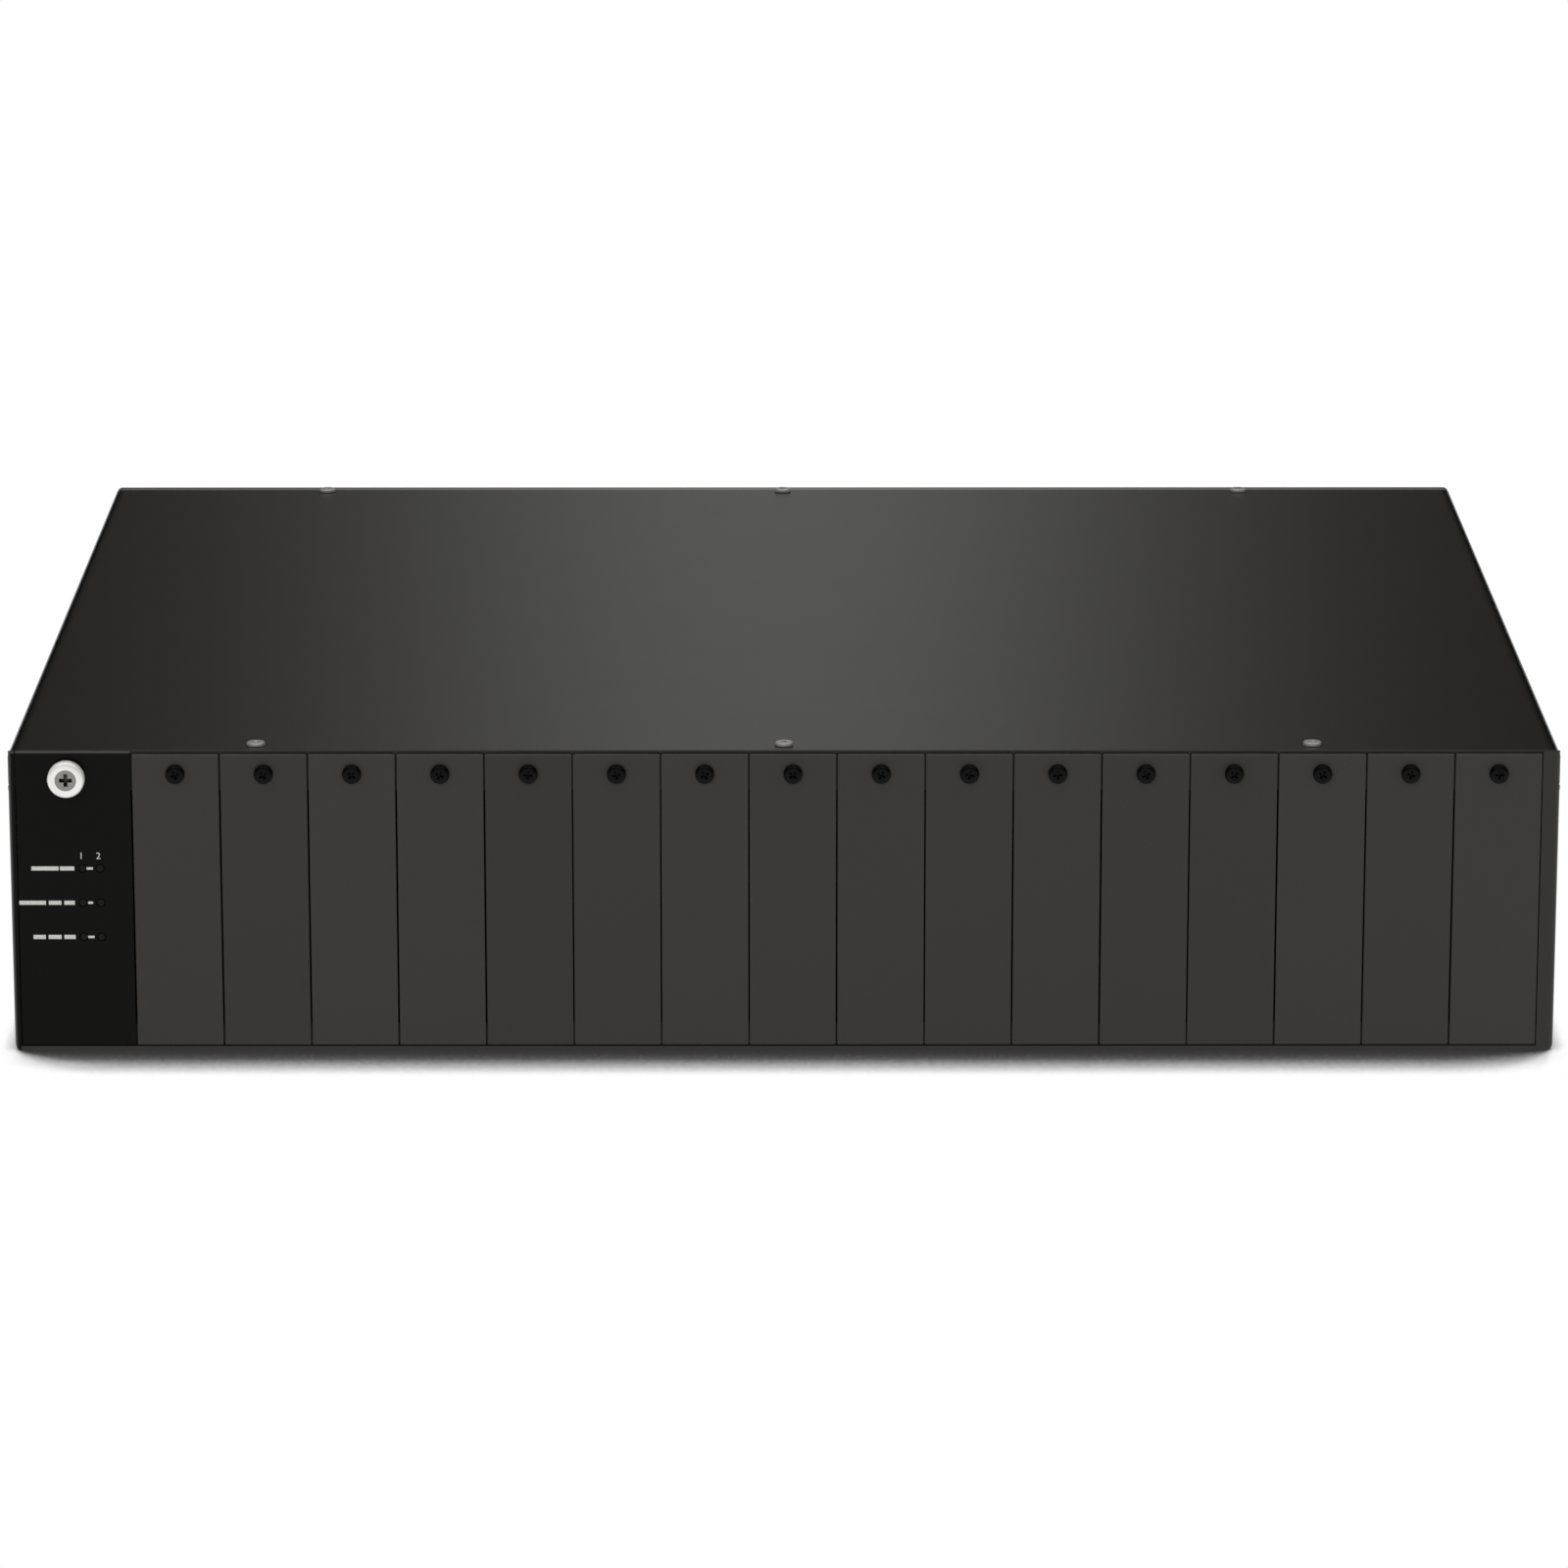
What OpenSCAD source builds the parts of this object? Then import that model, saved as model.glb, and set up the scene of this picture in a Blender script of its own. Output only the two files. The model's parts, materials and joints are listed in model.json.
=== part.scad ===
// Media converter chassis, two rack units high: sixteen front slots closed by blank plates, an
// indicator module at the left, a power module and an empty power bay at the rear, and two fans.
// The front faces -Y, +X is to the right seen from the front, +Z is up. Origin: centre of the base.

/* [Body] */
// Width of the body across its sides
body_w = 440; // [430:1:450]
// Height of the body
body_h = 88; // [86:1:100]
// Depth of the body from its front plates to its rear panel
body_d = 355; // [330:5:400]
// Thickness of the sheet steel
sheet_t = 1.2; // [1:0.1:1.4]
// Outer radius of the sheet bends
bend_r = 2; // [1.8:0.1:3]
// Height of the cover's side flanges
cover_flange_h = 10; // [8:1:12]
// Clearance between parts that come apart
slip = 0.3; // [0.2:0.05:0.35]

/* [Front] */
// Width of the zone of the indicator plate, from the body's left side
indicator_zone_w = 35; // [34:0.5:38]
// Width of the body's return at the right of the slots
right_return_w = 5; // [4:0.5:6]
// Width of the body's return at the left of the indicator plate
left_return_w = 2; // [1.5:0.25:3]
// Thickness of the front plates
plate_t = 1.2; // [1:0.1:1.2]
// Gap between neighbouring front plates
plate_gap = 0.4; // [0.3:0.1:0.6]
// How far the slot plates end below the top of the cover
plate_drop = 0.8; // [0.4:0.1:1.2]
// Height of the front frame's window above the base
window_z0 = 7.5; // [7:0.5:9]
// Distance from the window's upper edge to the top of the body
window_drop = 11.5; // [11:0.5:13]
// Distance from a slot screw to the top of the body
plate_screw_drop = 6.5; // [6.5:0.25:7.5]
// Depth of the rear bay, from the midplane board to the rear of the body
rear_bay_d = 205; // [195:5:215]

/* [Cards] */
// Thickness of a card's circuit board
card_t = 1.6; // [1.2:0.1:2]
// Distance of a card from the middle of its slot
card_offset = 6; // [4:0.5:7]
// Depth of the guide grooves
groove_d = 3; // [2:0.5:4]
// Distance from a card connector's ends to the guides
plug_end_gap = 11.2; // [8:0.2:16]

/* [Fans] */
// Room above and below a fan
fan_end_gap = 4; // [3.8:0.1:10]
// Thickness of a fan
fan_t = 25; // [20:1:32]
// Distance of each fan's side from the middle of the body
fan_mid_gap = 6; // [5:0.5:8]
// Number of blades on a rotor
blade_count = 7; // [5:1:9]
// Tilt of the blades
blade_tilt = 38; // [25:1:45]

/* [Power bays] */
// Distance from the middle of a power bay to the body's side
bay_side_gap = 62; // [61:0.5:63]
// Width of the power module's case
psu_w = 94; // [88:1:95]
// Room from the top of the power module's case to the top of the body
psu_top_gap = 9.3; // [8.5:0.1:16]
// Width of the bay plates at the rear
bay_plate_w = 116; // [114:1:117]
// Distance from the top of the bay plates to the top of the body
bay_plate_top_gap = 4; // [3:0.5:6]
// Thickness of the bay plates
bay_plate_t = 1.5; // [1.2:0.1:2]
// Reach of the handle behind the bay plate
handle_reach = 26; // [20:1:32]
// Distance between the legs of the handle
handle_w = 60; // [50:1:70]
// Tip of the rocker from its rest position to the other one
rocker_tip = 9; // [6:0.5:9]

/* [Hidden] */
$fn = 48;
overrun = 1;
slot_count = 16;

// Main planes
x_side = body_w / 2;
y_front = -body_d / 2;
y_rear = body_d / 2;
x_inner = x_side - sheet_t;
z_floor = sheet_t;
z_roof = body_h - sheet_t;
frame_y0 = y_front + sheet_t;
frame_y1 = frame_y0 + sheet_t;
panel_y0 = y_rear - sheet_t;
z_joggle = body_h - cover_flange_h - slip;
x_joggle = x_inner - slip;
x_joggle_in = x_joggle - sheet_t;

// Slots
slots_x0 = -x_side + indicator_zone_w;
slot_pitch = (body_w - indicator_zone_w - right_return_w) / slot_count;
plate_y0 = frame_y0 - plate_t;
plate_z0 = z_floor + slip;
plate_z1 = body_h - plate_drop;
plate_screw_z = body_h - plate_screw_drop;
window_z1 = body_h - window_drop;
return_d = 5;
tongue_w = 6;
tongue_d = 4;
tongue_z = 3.6;
tongue_t = 1.2;

// Screws of the front plates
slot_screw_r = 1.5;
slot_head_r = 2.7;
slot_head_h = 1.8;
slot_screw_l = 7;
head_gap = 0.1;
recess_w_share = 0.28;
recess_l_share = 1.2;
recess_d_share = 0.45;
crown_share = 0.3;

// Front frame
frame_top_d = 16;
frame_foot_d = 13;
frame_end_d = 10;
post_w = 2;

// Cover screws
cover_screw_side_gap = 70;
cover_screw_x = x_side - cover_screw_side_gap;
cover_screw_front = 7.7;
cover_screw_rear = 6.4;
cover_screw_r = 1.5;
cover_head_r = 2.6;
cover_head_h = 0.9;
cover_screw_l = 4.4;

// Rear panel
panel_foot_d = 12;
panel_foot_gap = 2.8;

// Holes for rack ears and vents in the sides
ear_hole_r = 2;
ear_hole_front = 17.5;
ear_hole_dy = 25;
ear_hole_dz = 40;
ear_hole_z = (body_h - ear_hole_dz) / 2;
vent_w = 3;
vent_h = 34;
vent_pitch = 7;
vent_count = 12;
vent_front_gap = 58;
vent_rear_gap = 130;

// Card guides
guide_t = 1.5;
guide_rib_w = 4.4;
groove_play = 0.5;
guide_y0 = frame_y0 + frame_foot_d;
mid_t = 1.6;
mid_y0 = y_rear - rear_bay_d;
mid_y1 = mid_y0 + mid_t;
groove_z0 = window_z0 + slip;
groove_z1 = window_z1 - slip;
upper_guide_z0 = z_roof - sheet_t - guide_t;
indicator_card_in = 17.8;
indicator_card_x = -x_side + indicator_card_in;

// Midplane board, its brackets and connectors
mid_side_gap = 5;
mid_bottom_gap = 2;
mid_top_gap = 2.1;
bracket_h = 14;
bracket_foot_d = 13;
bracket_side_gap = 15;
plug_w = 7;
plug_d = 11;
plug_slot_d = 8;
plug_slot_play = 0.4;
plug_z0 = groove_z0 + groove_d + plug_end_gap;
plug_z1 = groove_z1 - groove_d - plug_end_gap;
plug_wall = 2;
plug_engage = 7;
power_socket_w = 52;
power_socket_h = 16;
power_socket_d = 12;
power_socket_wall = 3;
power_socket_z = z_floor + bracket_h + slip + power_socket_h / 2;
header_w = 8;
header_h = 6;
header_d = 6;
header_z = z_floor + bracket_h + slip + header_h;

// Fans, as large as the body's height or the room between the power bays allows
bay_wall_play = 0.8;
bay_x = x_side - bay_side_gap;
bay_wall_x = bay_x - psu_w / 2 - bay_wall_play - sheet_t;
fan_side_gap = 23;
fan_size = min(body_h - 2 * fan_end_gap, bay_wall_x - fan_mid_gap - fan_side_gap);
fan_x = fan_mid_gap + fan_size / 2;
fan_y1 = panel_y0;
fan_y0 = fan_y1 - fan_t;
fan_z = body_h / 2;
fan_wall = 2;
fan_bore_r = fan_size / 2 - fan_wall;
fan_ring_t = 1.6;
fan_flange_t = 3.5;
fan_corner_r = 4;
fan_hole_inset = 4.25;
fan_hole_d = fan_size / 2 - fan_hole_inset;
fan_hole_r = 2.15;
fan_hub_share = 0.206;
fan_hub_r = fan_size * fan_hub_share;
fan_strut_w = 4;
fan_strut_t = 3;
rotor_play = 1.2;
rotor_front_gap = 1;
rotor_back_gap = 0.8;
blade_t = 1.5;
blade_chord_share = 0.275;
blade_chord = fan_size * blade_chord_share;
shaft_r = 1.5;
shaft_fit = 0.08;

// Fan guards, their screws and the fans' leads
wire_r = 0.8;
guard_ring_count = 4;
guard_ring_r0_share = 0.3;
guard_ring_y = 2.6;
guard_spoke_y = 1.3;
eyelet_r = 4.4;
eyelet_t = 1.6;
fan_screw_r = 1.9;
fan_head_r = 3.6;
fan_head_h = 2;
fan_screw_l = 12;
lead_r = 1.2;
lead_x = fan_x - fan_size / 4;
lead_rise = 3;
lead_run = 8;
lead_z = z_floor + sheet_t + slip + lead_r;

// Ground screw
ground_z = 16;
ground_screw_r = 2;
ground_head_r = 4;
ground_head_h = 2.6;
ground_screw_l = 9;
ground_washer_r = 5.2;
ground_washer_t = 1;

// Indicator module
ind_top_z = body_h;
ind_x0 = -x_side + left_return_w + plate_gap / 2;
ind_x1 = slots_x0 - plate_gap / 2;
ind_screw_in = 16.75;
ind_screw_x = -x_side + ind_screw_in;
ind_screw_drop = 7.5;
ind_screw_z = body_h - ind_screw_drop;
ind_head_r = 5.25;
ind_head_h = 3.8;
ind_shank_r = 1.5;
ind_shank_l = 8;
lamp_rows = 3;
lamp_z0 = 33.6;
lamp_pitch = 10.1;
lamp_x_gap = 2;
lamp_x_pitch = 5;
lamp_r = 1;
lamp_play = 0.2;
lamp_body_d = 8;
lamp_body_h = 5;
lamp_body_w = 9;
lamp_setback = 1;
lamp_inset = 0.1;
ind_board_gap = 4;
ind_tongue_margin = 1;
ind_bracket_l = 12;
ind_bracket_w = 10;
ind_bracket_h = 8;
ind_bracket_t = 1.2;
ind_bracket_gap = 6.5;
ind_bracket_z = [window_z0 + ind_bracket_gap, window_z1 - ind_bracket_gap - ind_bracket_h];

// Bay guides
bay_floor_y0 = mid_y1 + bracket_foot_d + slip;
bay_floor_y1 = panel_y0 - panel_foot_d - slip;
bay_wall_z1 = z_roof - sheet_t - slip;
bay_vent_count = 8;
bay_vent_w = 6;
bay_vent_h = 30;
bay_vent_pitch = 14;
bay_vent_y = 24;
bay_opening_play = 1;

// Power module
psu_t = 1;
psu_z0 = z_floor + sheet_t + slip;
psu_z1 = body_h - psu_top_gap;
psu_front_gap = 18;
psu_y0 = mid_y1 + psu_front_gap;
psu_l = y_rear - psu_y0;
psu_lid_flange = 8;
psu_lid_play = 0.1;
psu_vent_w = 3;
psu_vent_l = 24;
psu_vent_pitch = 8;
psu_vent_count = 7;
psu_vent_x_share = 0.75;
board_t = 1.6;
board_side_gap = 4;
board_front_gap = 6;
board_y0 = psu_y0 + board_front_gap;
board_rear_gap = 40;
board_y1 = y_rear - board_rear_gap;
board_l = board_y1 - board_y0;
standoff_h = 5;
standoff_r = 3;
standoff_inset = 9;
board_z0 = psu_z0 + psu_t + standoff_h;
board_z1 = board_z0 + board_t;
psu_plug_w = 42;
psu_plug_h = 8;
psu_plug_reach = 14;
psu_plug_back = 14;
psu_plug_play = 1;
psu_plug_z0 = power_socket_z - psu_plug_h / 2;

// Parts on the power module's board: places as shares of the board
transformer_share = [0.26, 0.62];
transformer_w = 34;
transformer_l = 30;
transformer_h = 28;
core_leg_t = 7;
winding_bulge = 3;
capacitor_shares = [[0.22, 0.22], [0.50, 0.22], [0.34, 0.90]];
capacitor_r = 10;
capacitor_h = 34;
capacitor_vent_t = 0.6;
heatsink_shares = [[0.60, 0.56], [0.90, 0.56]];
heatsink_l = 66;
heatsink_t = 3;
heatsink_h = 42;
fin_count = 6;
fin_t = 1.2;
fin_w = 7;

// Bay plates and their thumbscrews
bay_plate_z0 = 2;
bay_plate_z1 = body_h - bay_plate_top_gap;
bay_plate_y1 = y_rear + bay_plate_t;
thumb_x = 53;
thumb_z = body_h / 2;
thumb_r = 4.8;
thumb_h = 8;
thumb_neck_r = 3.4;
thumb_neck_h = 2;
thumb_shank_r = 1.75;
thumb_shank_l = 6.5;
bay_rim_d = 5;
bay_rim_play = 1;
face_vent_rows = 3;
face_vent_cols = 5;
face_vent_w = 3;
face_vent_h = 7;
face_vent_dx = 5.5;
face_vent_dz = 10;
face_vent_x = 31.5;

// Inlet and rocker switch on the power module's faceplate
inlet_side = 22;
inlet_x = bay_x - inlet_side;
inlet_rise = 30;
inlet_z = bay_plate_z0 + inlet_rise;
face_vent_z = inlet_z;
inlet_w = 27.4;
inlet_h = 20;
inlet_rim = 2;
inlet_rim_t = 1.6;
inlet_d = 20;
inlet_cavity_w = 24.4;
inlet_cavity_h = 16.6;
inlet_cavity_d = 16;
inlet_corner = 4;
blade_w = 2;
blade_h = 4;
blade_dx = 7;
blade_dz = 2;
blade_l = 14;
blade_tail = 5;
blade_play = 0.1;
blade_places = [[-blade_dx, -blade_dz], [0, blade_dz], [blade_dx, -blade_dz]];
switch_side = 8;
switch_x = bay_x + switch_side;
switch_z = inlet_z;
switch_w = 15;
switch_h = 21;
switch_rim = 1.2;
switch_rim_t = 1.6;
switch_d = 14;
rocker_w = 9.6;
rocker_half = 7.6;
rocker_play = 0.8;
rocker_side_play = 0.4;
rocker_back = 4;
rocker_rise = 2.6;
rocker_dip = 1.2;
rocker_pin_r = 1;
rocker_pin_l = 1.4;
rocker_pin_fit = 0.08;
rocker_proud = 0.2;
rocker_y = bay_plate_y1 + rocker_proud;
cut_play = 0.2;

// Handle of the power module
handle_drop = 18;
handle_z = bay_plate_z1 - handle_drop;
handle_r = 3.5;
handle_foot_r = 5.5;
handle_foot_t = 1.5;

blank_names = [for (i = [1 : slot_count]) str("blank_", i < 10 ? "0" : "", i)];

function slot_x(i) = slots_x0 + (i - 0.5) * slot_pitch;
function card_x(i) = slot_x(i) - card_offset;
card_xs = concat([indicator_card_x], [for (i = [1 : slot_count]) card_x(i)]);

// Helpers

module block(x0, x1, y0, y1, z0, z1)
    translate([x0, y0, z0])
        cube([x1 - x0, y1 - y0, z1 - z0]);

module rod_x(x0, x1, y, z, r)
    translate([x0, y, z])
        rotate([0, 90, 0])
            cylinder(h = x1 - x0, r = r);

module rod_y(y0, y1, x, z, r)
    translate([x, y1, z])
        rotate([90, 0, 0])
            cylinder(h = y1 - y0, r = r);

module rod_z(z0, z1, x, y, r)
    translate([x, y, z0])
        cylinder(h = z1 - z0, r = r);

module along_y(y0, y1)
    translate([0, y1, 0])
        rotate([90, 0, 0])
            linear_extrude(y1 - y0)
                children();

// A rectangle with round corners, from its corners' places
module round_rect(x0, x1, y0, y1, r) {
    translate([x0 + r, y0])
        square([x1 - x0 - 2 * r, y1 - y0]);
    translate([x0, y0 + r])
        square([x1 - x0, y1 - y0 - 2 * r]);
    for (x = [x0 + r, x1 - r], y = [y0 + r, y1 - r])
        translate([x, y])
            circle(r);
}

module both_sides() {
    children();
    mirror([1, 0, 0])
        children();
}

// Turn a screw modelled along +Z so that its head faces the front or the rear
module facing_front(x, y, z)
    translate([x, y, z])
        rotate([90, 0, 0])
            children();

module facing_rear(x, y, z)
    translate([x, y, z])
        rotate([-90, 0, 0])
            children();

module cross_recess(r, h)
    for (a = [0, 90])
        rotate([0, 0, a])
            translate([-r * recess_l_share / 2, -r * recess_w_share / 2, h * (1 - recess_d_share)])
                cube([r * recess_l_share, r * recess_w_share, h]);

// A pan-head screw with its seat at z = 0
module pan_screw(head_r, head_h, shank_r, shank_l)
    difference() {
        union() {
            translate([0, 0, head_gap])
                cylinder(h = head_h * (1 - crown_share), r = head_r);
            translate([0, 0, head_gap + head_h * (1 - crown_share)])
                cylinder(h = head_h * crown_share, r1 = head_r, r2 = head_r - head_h * crown_share);
            translate([0, 0, -shank_l])
                cylinder(h = shank_l + head_gap, r = shank_r);
        }
        translate([0, 0, head_gap])
            cross_recess(head_r, head_h);
    }

// A captive thumbscrew with a neck under its head, seat at z = 0
module thumbscrew(head_r, head_h, neck_r, neck_h, shank_r, shank_l)
    difference() {
        union() {
            translate([0, 0, head_gap])
                cylinder(h = neck_h, r = neck_r);
            translate([0, 0, head_gap + neck_h])
                cylinder(h = head_h - neck_h - head_r * crown_share / 2, r = head_r);
            translate([0, 0, head_gap + head_h - head_r * crown_share / 2])
                cylinder(h = head_r * crown_share / 2, r1 = head_r, r2 = head_r * (1 - crown_share / 2));
            translate([0, 0, -shank_l])
                cylinder(h = shank_l + head_gap, r = shank_r);
        }
        translate([0, 0, head_gap])
            cross_recess(head_r, head_h);
    }

// Body

// A block with round lower side edges and round front edges, from the front to y1
module pan(inset, r, y0, y1, z0, z1)
    intersection() {
        along_y(y0, y1)
            round_rect(-x_side + inset, x_side - inset, z0, z1 + 2 * r, r);
        translate([0, 0, z0])
            linear_extrude(z1 - z0)
                round_rect(-x_side + inset, x_side - inset, y0, y1 + 2 * r, r);
    }

module side_vents(y0)
    for (i = [0 : vent_count - 1])
        block(x_inner - overrun, x_side + overrun,
              y0 + i * vent_pitch, y0 + i * vent_pitch + vent_w,
              (body_h - cover_flange_h - vent_h) / 2, (body_h - cover_flange_h + vent_h) / 2);

module base_tray()
    color("#3a3836")
        difference() {
            union() {
                difference() {
                    pan(0, bend_r, y_front, y_rear, 0, body_h);
                    pan(sheet_t, bend_r - sheet_t, frame_y0, y_rear + overrun,
                        z_floor, body_h + overrun);
                    both_sides()
                        block(x_joggle_in, x_side + overrun, frame_y0, y_rear + overrun,
                              z_joggle, body_h + overrun);
                    block(-x_side + left_return_w, x_side - right_return_w,
                          y_front - overrun, frame_y1, z_floor, body_h + overrun);
                }
                both_sides() {
                    block(x_joggle_in, x_side, frame_y0, panel_y0, z_joggle - sheet_t, z_joggle);
                    block(x_joggle_in, x_joggle, frame_y0, panel_y0,
                          z_joggle - sheet_t, z_roof - slip);
                }
            }
            both_sides() {
                for (y = [0, ear_hole_dy], z = [0, ear_hole_dz])
                    rod_x(x_inner - overrun, x_side + overrun,
                          y_front + ear_hole_front + y, ear_hole_z + z, ear_hole_r);
                side_vents(y_front + vent_front_gap);
                side_vents(y_rear - vent_rear_gap);
            }
        }

module bay_opening(x)
    block(x - psu_w / 2 - bay_opening_play, x + psu_w / 2 + bay_opening_play,
          panel_y0 - overrun, y_rear + overrun,
          z_floor + sheet_t, psu_z1 + bay_opening_play);

module rear_panel()
    color("#3a3836")
        difference() {
            union() {
                along_y(panel_y0, y_rear)
                    round_rect(-x_inner, x_inner, z_floor, z_roof, bend_r);
                block(-x_inner + panel_foot_gap, x_inner - panel_foot_gap,
                      panel_y0 - panel_foot_d, panel_y0, z_floor, z_floor + sheet_t);
                block(-x_inner + panel_foot_gap, x_inner - panel_foot_gap,
                      panel_y0 - panel_foot_d, panel_y0, z_roof - sheet_t, z_roof);
            }
            both_sides() {
                bay_opening(bay_x);
                for (x = [-thumb_x, thumb_x])
                    rod_y(panel_y0 - overrun, y_rear + overrun, bay_x + x, thumb_z,
                          thumb_shank_r + slip);
                rod_y(panel_y0 - overrun, y_rear + overrun, fan_x, fan_z, fan_bore_r);
                for (x = [-fan_hole_d, fan_hole_d], z = [-fan_hole_d, fan_hole_d])
                    rod_y(panel_y0 - overrun, y_rear + overrun, fan_x + x, fan_z + z, fan_hole_r);
            }
            for (x = [-cover_screw_x, 0, cover_screw_x])
                rod_z(z_roof - sheet_t - overrun, z_roof + overrun, x, y_rear - cover_screw_rear,
                      cover_screw_r + slip);
            rod_y(panel_y0 - overrun, y_rear + overrun, 0, ground_z, ground_screw_r + slip);
        }

module top_cover()
    color("#403e3c")
        difference() {
            along_y(frame_y0 + slip, y_rear)
                difference() {
                    round_rect(-x_side, x_side, z_joggle - 2 * bend_r, body_h, bend_r);
                    round_rect(-x_inner, x_inner, z_joggle - cover_flange_h, z_roof,
                               bend_r - sheet_t);
                    translate([-body_w, z_joggle - 2 * bend_r - overrun])
                        square([2 * body_w, 2 * bend_r + overrun + slip]);
                }
            for (x = [-cover_screw_x, 0, cover_screw_x],
                 y = [y_front + cover_screw_front, y_rear - cover_screw_rear])
                rod_z(z_roof - overrun, body_h + overrun, x, y, cover_screw_r + slip);
        }

module cover_screws()
    color("#b4b2ae")
        for (x = [-cover_screw_x, 0, cover_screw_x],
             y = [y_front + cover_screw_front, y_rear - cover_screw_rear])
            translate([x, y, body_h])
                pan_screw(cover_head_r, cover_head_h, cover_screw_r, cover_screw_l);

module front_frame()
    color("#2b2a29")
        difference() {
            union() {
                block(-x_joggle_in, x_joggle_in, frame_y0, frame_y1, z_floor, z_roof);
                block(-x_joggle_in, x_joggle_in, frame_y0, frame_y0 + frame_top_d,
                      z_roof - sheet_t, z_roof);
                block(-x_joggle_in, x_joggle_in, frame_y0, frame_y0 + frame_foot_d,
                      z_floor, z_floor + sheet_t);
                both_sides()
                    block(x_joggle_in - sheet_t, x_joggle_in, frame_y0, frame_y0 + frame_end_d,
                          z_floor, z_roof);
            }
            block(-x_joggle_in + sheet_t, slots_x0 - plate_gap - post_w,
                  frame_y0 - overrun, frame_y1 + overrun, window_z0, window_z1);
            block(slots_x0 - plate_gap, x_joggle_in - sheet_t,
                  frame_y0 - overrun, frame_y1 + overrun, window_z0, window_z1);
            for (i = [1 : slot_count]) {
                rod_y(frame_y0 - overrun, frame_y1 + overrun, slot_x(i), plate_screw_z,
                      slot_screw_r + slip);
                tongue_slot(slot_x(i));
            }
            rod_y(frame_y0 - overrun, frame_y1 + overrun, ind_screw_x, ind_screw_z,
                  ind_shank_r + slip);
            tongue_slot((ind_x0 + ind_x1) / 2);
            for (x = [-cover_screw_x, 0, cover_screw_x])
                rod_z(z_roof - sheet_t - overrun, z_roof + overrun, x,
                      y_front + cover_screw_front, cover_screw_r + slip);
        }

module tongue_slot(x)
    block(x - tongue_w / 2 - slip, x + tongue_w / 2 + slip,
          frame_y0 - overrun, frame_y1 + overrun, tongue_z - slip, tongue_z + tongue_t + slip);

module tongue(x)
    block(x - tongue_w / 2, x + tongue_w / 2, plate_y0, frame_y0 + tongue_d,
          tongue_z, tongue_z + tongue_t);

// Card bay

module lower_card_guide()
    color("#1c1c1c")
        difference() {
            union() {
                block(-x_inner + bend_r, x_inner - bend_r, guide_y0, mid_y0 - slip,
                      z_floor, z_floor + guide_t);
                for (x = card_xs)
                    block(x - guide_rib_w / 2, x + guide_rib_w / 2, guide_y0, mid_y0 - slip,
                          z_floor, groove_z0 + groove_d);
            }
            for (x = card_xs)
                block(x - (card_t + groove_play) / 2, x + (card_t + groove_play) / 2,
                      guide_y0 - overrun, mid_y0, groove_z0, groove_z0 + groove_d + overrun);
        }

module upper_card_guide()
    color("#1c1c1c")
        difference() {
            union() {
                block(-x_joggle_in + slip, x_joggle_in - slip, guide_y0, mid_y1 + bracket_foot_d,
                      upper_guide_z0, upper_guide_z0 + guide_t);
                for (x = card_xs)
                    block(x - guide_rib_w / 2, x + guide_rib_w / 2, guide_y0, mid_y0 - slip,
                          groove_z1 - groove_d, upper_guide_z0 + guide_t);
            }
            for (x = card_xs)
                block(x - (card_t + groove_play) / 2, x + (card_t + groove_play) / 2,
                      guide_y0 - overrun, mid_y0, groove_z1 - groove_d - overrun, groove_z1);
        }

module midplane_board()
    color("#1f5c38")
        block(-x_inner + mid_side_gap, x_inner - mid_side_gap, mid_y0, mid_y1,
              z_floor + mid_bottom_gap, upper_guide_z0 - mid_top_gap);

module card_plugs()
    color("#e6e2d8")
        for (x = card_xs)
            difference() {
                block(x - plug_w / 2, x + plug_w / 2, mid_y0 - plug_d, mid_y0,
                      plug_z0, plug_z1);
                block(x - (card_t + plug_slot_play) / 2, x + (card_t + plug_slot_play) / 2,
                      mid_y0 - plug_d - overrun, mid_y0 - plug_d + plug_slot_d,
                      plug_z0 + plug_wall, plug_z1 - plug_wall);
            }

module midplane_brackets()
    color("#9a9a98") {
        block(-x_inner + bracket_side_gap, x_inner - bracket_side_gap, mid_y1, mid_y1 + sheet_t,
              z_floor, z_floor + bracket_h);
        block(-x_inner + bracket_side_gap, x_inner - bracket_side_gap, mid_y1,
              mid_y1 + bracket_foot_d, z_floor, z_floor + sheet_t);
        block(-x_inner + bracket_side_gap, x_inner - bracket_side_gap, mid_y1, mid_y1 + sheet_t,
              upper_guide_z0 - bracket_h, upper_guide_z0);
        block(-x_inner + bracket_side_gap, x_inner - bracket_side_gap, mid_y1,
              mid_y1 + bracket_foot_d, upper_guide_z0 - sheet_t, upper_guide_z0);
    }

module power_socket()
    difference() {
        block(bay_x - power_socket_w / 2, bay_x + power_socket_w / 2,
              mid_y1, mid_y1 + power_socket_d,
              power_socket_z - power_socket_h / 2, power_socket_z + power_socket_h / 2);
        block(bay_x - power_socket_w / 2 + power_socket_wall,
              bay_x + power_socket_w / 2 - power_socket_wall,
              mid_y1 + power_socket_wall, mid_y1 + power_socket_d + overrun,
              power_socket_z - power_socket_h / 2 + power_socket_wall,
              power_socket_z + power_socket_h / 2 - power_socket_wall);
    }

module rear_sockets()
    color("#151515")
        both_sides() {
            power_socket();
            block(lead_x - header_w / 2, lead_x + header_w / 2, mid_y1, mid_y1 + header_d,
                  header_z - header_h / 2, header_z + header_h / 2);
        }

// Fans

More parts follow.
